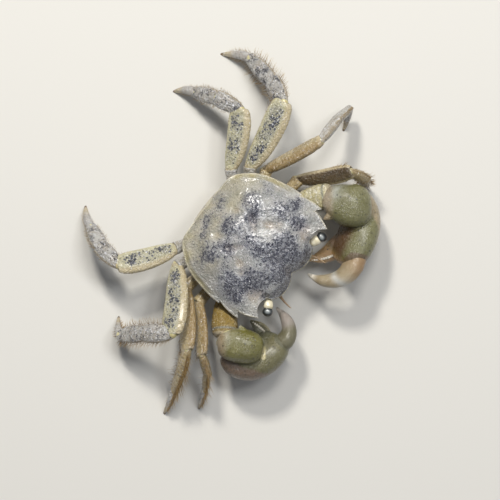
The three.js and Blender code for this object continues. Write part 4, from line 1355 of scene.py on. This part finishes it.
def makeLeg(side, sign, index):
    size, (joints, runs, edges) = legSizes[index], legChain(side, sign, index)
    rank, wide, thick = size["rank"], size["wide"] / 2, size["thick"] / 2
    merusFinish, endFinish, dots, hairLength, hairGap, lean = legLooks[side, rank]
    stem = f"leg_{side}_{rank}"
    root = np.array(legRoots[index]) * [sign, 1, 1]
    forms = {"base": {**legBase, "path": [root, joints[0] + runs[0] * legBase["after"]], "side": up}}
    for i, (part, form) in enumerate(legForms.items()):
        broad, thin = (1, 1) if part == "dactyl" else (wide, thick)
        forms[part] = {
            **form, "path": [joints[i] - runs[i] * form["before"], joints[i + 1] + runs[i] * form["after"]],
            "side": edges[i], "wide": [share * broad for share in form["wide"]],
            "deep": [share * thin for share in form["deep"]],
        }
    baseFinish = "greyLeg" if merusFinish == "paleLeg" else "tanLeg"
    finishes = {
        "base": (baseFinish, plainPaint), "merus": (merusFinish, merusPaint(dots)),
        "carpus": (endFinish, carpusPaint(dots)), "propodus": (endFinish, carpusPaint(dots)),
        "dactyl": ("legTip", dactylPaint),
    }
    for part, form in forms.items():
        finish, paint = finishes[part]
        shape = limbShape(form, paint)
        floor = 0 if part == "dactyl" else -math.inf  # the foot is flat before and after it is roughened
        shape["points"][:, 2] = np.maximum(shape["points"][:, 2], floor)
        uneven = roughness(shape["points"], legDetail["scale"], rank) * legDetail["uneven"]
        shape["points"] += unit(shape["points"] - form["path"][0]) * uneven[:, None]
        shape["points"][:, 2] = np.maximum(shape["points"][:, 2], floor)
        slot = "limb_tip" if part in ("base", "dactyl") else "leg_shell"
        addPiece(f"{stem}_{part}Shell", shape, finish, slot, f"{stem}_{part}")
    radii = [knuckle["hip"]] + [share * wide for share in knuckle["shares"]]
    knuckles = [
        limbShape({
            "path": [joint - run * radius, joint + run * radius], "side": edge, "wide": [radius, radius],
            "deep": [min(radius, thick * knuckle["flat"])] * 2, "blunt": 2, "rows": 16, "columns": 18,
        }, plainPaint)
        for joint, run, edge, radius in zip(joints, runs, edges, radii)
    ]
    addPiece(f"{stem}_jointSkins", joined(knuckles), "membrane", "limb_tip")
    lines = [
        guideLine(forms[part], turn + offset, *reach, lean + extraLean, lengths, tile * 0.25)
        for tile, (part, turns, reach, extraLean, lengths) in enumerate(legFringes)
        for turn in turns
        for offset in fringe["offsets"]
    ]
    growRows(
        f"{stem}_bristles", lines, hairTree, "hair", "leg_shell",
        Spacing=hairGap * mm, Length=hairLength * mm, Thickness=fringe["thickness"] * mm,
        Scatter=fringe["scatter"] * mm, Spread=fringe["spread"], Seed=rank * 7 + (sign > 0),
    )


for side, sign in sides:
    for index in range(len(legSizes)):
        makeLeg(side, sign, index)
print("legs made")


clawPoses = {
    "left": {
        "elbow": (18.9, -8.0, 11.2), "spur": [(16.0, -10.9, 12.8), (13.4, -9.8, 12.6)],
        "carpus": [(18.3, -6.6, 10.8), (18.6, -9.2, 11.3), (19.2, -11.9, 11.6), (20.4, -14.0, 11.4),
                   (22.0, -16.0, 10.8)],
        "carpusWide": [2.7, 3.8, 4.7, 4.8, 4.6],
        "palm": [(22.2, -10.8, 8.4), (22.8, -16.6, 7.0), (16.6, -18.1, 7.8), (8.2, -19.0, 8.6)],
        "top": (0.11, -0.535, 0.838),
        "fixed": [(13.6, -16.4, 5.9), (8.0, -16.2, 4.8), (4.5, -12.6, 6.2)],
        "thumb": [(12.2, -20.2, 10.6), (6.8, -23.1, 12.0), (2.2, -19.5, 10.9), (2.0, -14.4, 7.9)],
        "thumbWide": [2.7, 2.5, 2.0, 1.5, 0.5], "thumbBase": (0.46, 0.35), "paleMarks": [],
    },
    "right": {
        "elbow": (-20.0, -8.3, 11.3), "spur": [(-16.9, -11.2, 13.0), (-16.0, -9.4, 13.0)],
        "carpus": [(-22.3, -8.5, 10.6), (-20.9, -10.1, 11.2), (-19.5, -12.1, 11.4), (-18.4, -14.4, 11.2),
                   (-17.5, -16.1, 10.6)],
        "carpusWide": [2.8, 3.5, 3.8, 3.7, 3.3],
        "palm": [(-23.0, -10.8, 10.0), (-24.9, -16.8, 8.8), (-19.2, -17.8, 7.6), (-12.8, -17.3, 6.6)],
        "top": (0.08, -0.565, 0.822),
        "fixed": [(-17.0, -15.4, 5.2), (-13.4, -15.2, 3.6), (-13.9, -10.6, 5.2)],
        "thumb": [(-14.8, -18.8, 9.4), (-10.8, -20.4, 10.3), (-8.6, -18.1, 9.0), (-8.1, -13.5, 5.9)],
        "thumbWide": [2.3, 2.15, 1.75, 1.35, 0.45], "thumbBase": (0.72, 0.9),
        "paleMarks": [((-16.9, -16.5), (-18.4, -17.7), 0.75)],
    },
}
arm = {
    "root": (6.2, -4.6, 6.5), "shoulder": (12.9, -2.9, 7.8), "overlap": (0.6, -0.4, 0.3), "lip": 0.12,
    "groove": 0.14, "bead": 0.1,
}
claw = {
    "upper": [1.2, 2.4, 4.0, 5.3, 5.9, 5.8], "lower": [2.2, 4.2, 5.2, 5.3, 5.2, 4.6],
    "palmThick": [2.2, 2.9, 3.5, 3.7, 3.6, 3.1], "palmSteps": 60,
    "fixedWide": [2.5, 2.2, 1.8, 1.3, 0.5], "fixedDeep": [2.5, 2.5, 2.0, 1.3, 0.45],
    "carpusDeep": [2.8, 3.9, 4.5, 4.4, 3.6], "carpusSide": (0.793, 0.609, 0), "spur": [1.2, 1.0, 0.7, 0.3],
    "thumbDepth": 0.85, "thumbFurrow": 0.12, "thumbSeam": 0.1, "grid": 0.14, "toothSunk": 0.12,
    "toothEnd": 0.93,
}


def fused(name, shapes, smoothing):
    # melts overlapping shapes into one skin, and returns its points and faces
    whole = joined(shapes)
    mesh = bpy.data.meshes.new(name)
    mesh.from_pydata(whole["points"].tolist(), [], whole["quads"].tolist() + whole["tris"].tolist())
    rough = linked(name, mesh)
    remesh = rough.modifiers.new("remesh", "REMESH")
    remesh.mode, remesh.voxel_size = "VOXEL", claw["grid"]
    smooth = rough.modifiers.new("smooth", "SMOOTH")
    smooth.factor, smooth.iterations = 0.5, smoothing
    made = bpy.data.meshes.new_from_object(rough.evaluated_get(bpy.context.evaluated_depsgraph_get()))
    points = np.zeros(len(made.vertices) * 3, np.float32)
    made.vertices.foreach_get("co", points)
    faces = [tuple(face.vertices) for face in made.polygons]
    bpy.data.objects.remove(rough)
    quads = np.array([face for face in faces if len(face) == 4], int).reshape(-1, 4)
    tris = np.array([face for face in faces if len(face) == 3], int).reshape(-1, 3)
    points = points.reshape(-1, 3).astype(float)
    return facingOut({"points": points, "values": {}, "quads": quads, "tris": tris})


def toothLine(form, turn, fromS, size):
    # teeth stand a little sunk into the finger's biting edge
    line = guideLine(form, turn, fromS, claw["toothEnd"], 0.0, size)
    line["points"] = line["points"] - line["lie"] * claw["toothSunk"]
    return line


def armRelief(s, turn):
    lip = arm["lip"] * ease(0.82, 0.9, s) - arm["groove"] * hill(s, 0.8, 0.02)
    return lip + wavyCrest(s, turn, 9, arm["bead"])


def armPaint(s, turn, points):
    seam, end = 0.7 * hill(s, 0.86, 0.03), 0.6 * ease(0.9, 0.97, s)
    return {"spots": 0.5 * np.ones(len(s)), "border": seam, "tip": end}


def makeArm(side, sign, elbow):
    mirror = np.array([sign, 1, 1])
    shoulder = arm["shoulder"] * mirror
    base = {
        "path": [arm["root"] * mirror, shoulder + arm["overlap"] * mirror], "side": up,
        "wide": [1.5, 1.8, 1.7, 1.7], "deep": [2, 2, 1.8, 1.8], "relief": baseRelief,
        "rows": 36, "columns": 30,
    }
    merus = {
        "path": [shoulder, elbow], "side": (0.64 * sign, 0.77, 0), "wide": [1.7, 2.3, 2.7, 2.9, 2.7],
        "deep": [1.6, 2.1, 2.4, 2.6, 2.4], "rows": 60, "columns": 48, "square": 2.5, "relief": armRelief,
    }
    addLimb(f"claw_{side}_baseShell", base, side + "Arm", "claw_arm", f"claw_{side}_base")
    addLimb(f"claw_{side}_merusShell", merus, side + "Arm", "claw_arm", f"claw_{side}_merus", paint=armPaint)


def makeWrist(side, pose, elbow, wrist):
    dome = {
        "path": pose["carpus"], "smooth": True, "side": claw["carpusSide"], "wide": pose["carpusWide"],
        "deep": claw["carpusDeep"], "blunt": 3.4, "square": 2.5,
    }
    spur = {
        "path": pose["spur"], "side": up, "wide": claw["spur"], "deep": claw["spur"],
        "rows": 20, "columns": 16,
    }
    carpus = fused(f"carpus_{side}", [limbShape(dome), limbShape(spur)], 4)
    away = carpus["points"] - wrist
    spurAway = np.linalg.norm(carpus["points"] - pose["spur"][1], axis=1)
    # a pale patch towards the elbow: partly the carpus's own paler tone, partly painted sheen
    pale = (0.6 + 0.6 * roughness(carpus["points"], 0.7)) * ease(1.0, 3.8, away @ unit(elbow - wrist))
    shaded = np.maximum(0.8 * ease(-0.6, -3.0, away[:, 2]), 0.6 * ease(2.4, 4.2, -away @ cameraRight))
    carpus["values"] = {
        "spots": np.ones(len(away)), "border": shaded, "flush": pale + 0.3 * ease(1.4, 0.3, spurAway),
    }
    addPiece(f"claw_{side}_carpusShell", carpus, side + "Wrist", "claw_shell", f"claw_{side}_carpus")


def palmPaint(points, sign, pose, palm):
    # a tan outer side, painted shade on the inner side, a dark seam at the hinge, another tone on the
    # fixed finger, and pale marks
    steps = claw["palmSteps"]
    path, run, tallWay, inWay = limbFrame(palm, np.linspace(0, 1, steps))
    nearest = np.argmin(((points[:, None] - path[None]) ** 2).sum(-1), axis=1)
    local = points - path[nearest]
    tall, inward = (local * tallWay[nearest]).sum(-1), (local * inWay[nearest]).sum(-1) * sign
    fingerRoot, fingerBend = np.array(pose["fixed"][:2])
    finger = ease(2.6, 4.6, (points - fingerRoot) @ unit(fingerBend - fingerRoot))
    around = np.arctan2(inward, tall)
    early = 1 - nearest / steps
    # how far round the hand its tan outer side starts
    edge = 0.12 - 0.5 * ease(0.62, 0.4, early) - 0.5 * ease(0.3, 0.1, early)
    outer = ease(edge + 0.14, edge - 0.14, around)
    hinge = bezierPoint(pose["thumb"], np.linspace(0.0, 0.22, 24))
    toHinge = np.sqrt(((points[:, None] - hinge[None]) ** 2).sum(-1).min(axis=1))
    seam = 0.8 * ease(0.06, 0.01, toHinge - pose["thumbWide"][0])
    # "tip" carries painted shade on the inner side, and the dark seam at the hinge
    flush, tip = finger, np.maximum(ease(0.55, 1.2, around), seam) * (1 - finger)
    for start, stop, width in pose["paleMarks"]:
        stroke = np.subtract(stop, start)
        away = points[:, :2] - start
        away = away - np.clip(away @ stroke / (stroke @ stroke), 0, 1)[:, None] * stroke
        mark = 0.85 * ease(width, 0.4 * width, np.linalg.norm(away, axis=1)) * ease(0.5, 1.5, tall)
        flush, tip = np.maximum(flush, mark), tip * (1 - mark)
    border = np.clip(outer, 0, 1) * (1 - finger)
    return {"spots": np.ones(len(tall)), "border": border, "tip": tip, "flush": flush}


def makePalm(side, sign, pose):
    upper, lower = np.array(claw["upper"]), np.array(claw["lower"])
    palm = {
        "path": pose["palm"], "side": pose["top"], "wide": (upper + lower) / 2, "lift": (upper - lower) / 2,
        "deep": claw["palmThick"], "blunt": 4.6, "rows": 80, "columns": 60,
    }
    fixed = {
        "path": pose["fixed"], "side": pose["top"], "wide": claw["fixedWide"], "deep": claw["fixedDeep"],
        "rows": 40, "columns": 30,
    }
    hand = fused(f"palm_{side}", [limbShape(palm), limbShape(fixed)], 8)
    hand["values"] = palmPaint(hand["points"], sign, pose, palm)
    addPiece(f"claw_{side}_palmShell", hand, side + "Palm", "claw_shell", f"claw_{side}_palm")
    return fixed


def thumbRelief(s, turn):
    furrow = claw["thumbFurrow"] * edgeNear(turn, math.pi / 2, 0.3) * ease(0.1, 0.4, s)
    return -furrow - claw["thumbSeam"] * hill(s, 0.12, 0.02)


def makeThumb(side, sign, pose):
    thumb = {
        "path": pose["thumb"], "side": pose["top"], "wide": pose["thumbWide"],
        "deep": [claw["thumbDepth"] * w for w in pose["thumbWide"]], "rows": 80, "columns": 44,
        "relief": thumbRelief,
    }

    def thumbPaint(s, turn, points):
        outside = 0.5 - 0.5 * np.sin(turn) * sign
        baseEnd, share = pose["thumbBase"]
        dark = ease(baseEnd, baseEnd - 0.26, s + 0.1 * (1 - outside)) * (share + (1 - share) * outside)
        # a pale band across the middle, painted as a highlight
        pale = 0.7 * hill(s + 0.14 * outside, 0.54, 0.06)
        return {"spots": 0.5 * ease(0.6, 0.2, s), "border": dark, "flush": pale, "tip": ease(0.78, 0.95, s)}

    node = f"claw_{side}_dactyl"
    addLimb(node + "Shell", thumb, side + "Finger", "finger", node, paint=thumbPaint)
    return thumb


def makeClaw(side, sign):
    pose = clawPoses[side]
    elbow, wrist = np.array(pose["elbow"]), np.array(pose["carpus"][2])
    makeArm(side, sign, elbow)
    makeWrist(side, pose, elbow, wrist)
    fixed = makePalm(side, sign, pose)
    thumb = makeThumb(side, sign, pose)
    teeth = [toothLine(thumb, math.pi, 0.34, (0.8, 1.0, 0.5)), toothLine(fixed, 0.0, 0.42, (0.8, 1.1, 0.5))]
    growRows(
        f"claw_{side}_teeth", teeth, toothTree, "teeth", "finger",
        Spacing=0.5 * mm, Size=0.38 * mm, Seed=5 + sign,
    )
    elbowSkin = {
        "path": [elbow + [0, 1.2, 0], elbow + [0, -1.2, 0]], "side": up, "wide": [2.4, 2.4],
        "deep": [2.6, 2.6], "blunt": 2,
    }
    wristSkin = {
        "path": [wrist + [0, -1.6, -2.0], wrist + [0.4, -5.4, -1.6]], "side": up, "wide": [2.6, 2.2],
        "deep": [2.4, 2.2], "blunt": 2,
    }
    skins = joined([limbShape(skin, plainPaint) for skin in (elbowSkin, wristSkin)])
    addPiece(f"claw_{side}_jointSkins", skins, "membrane", "claw_arm")


for side, sign in sides:
    makeClaw(side, sign)
print("claws made")
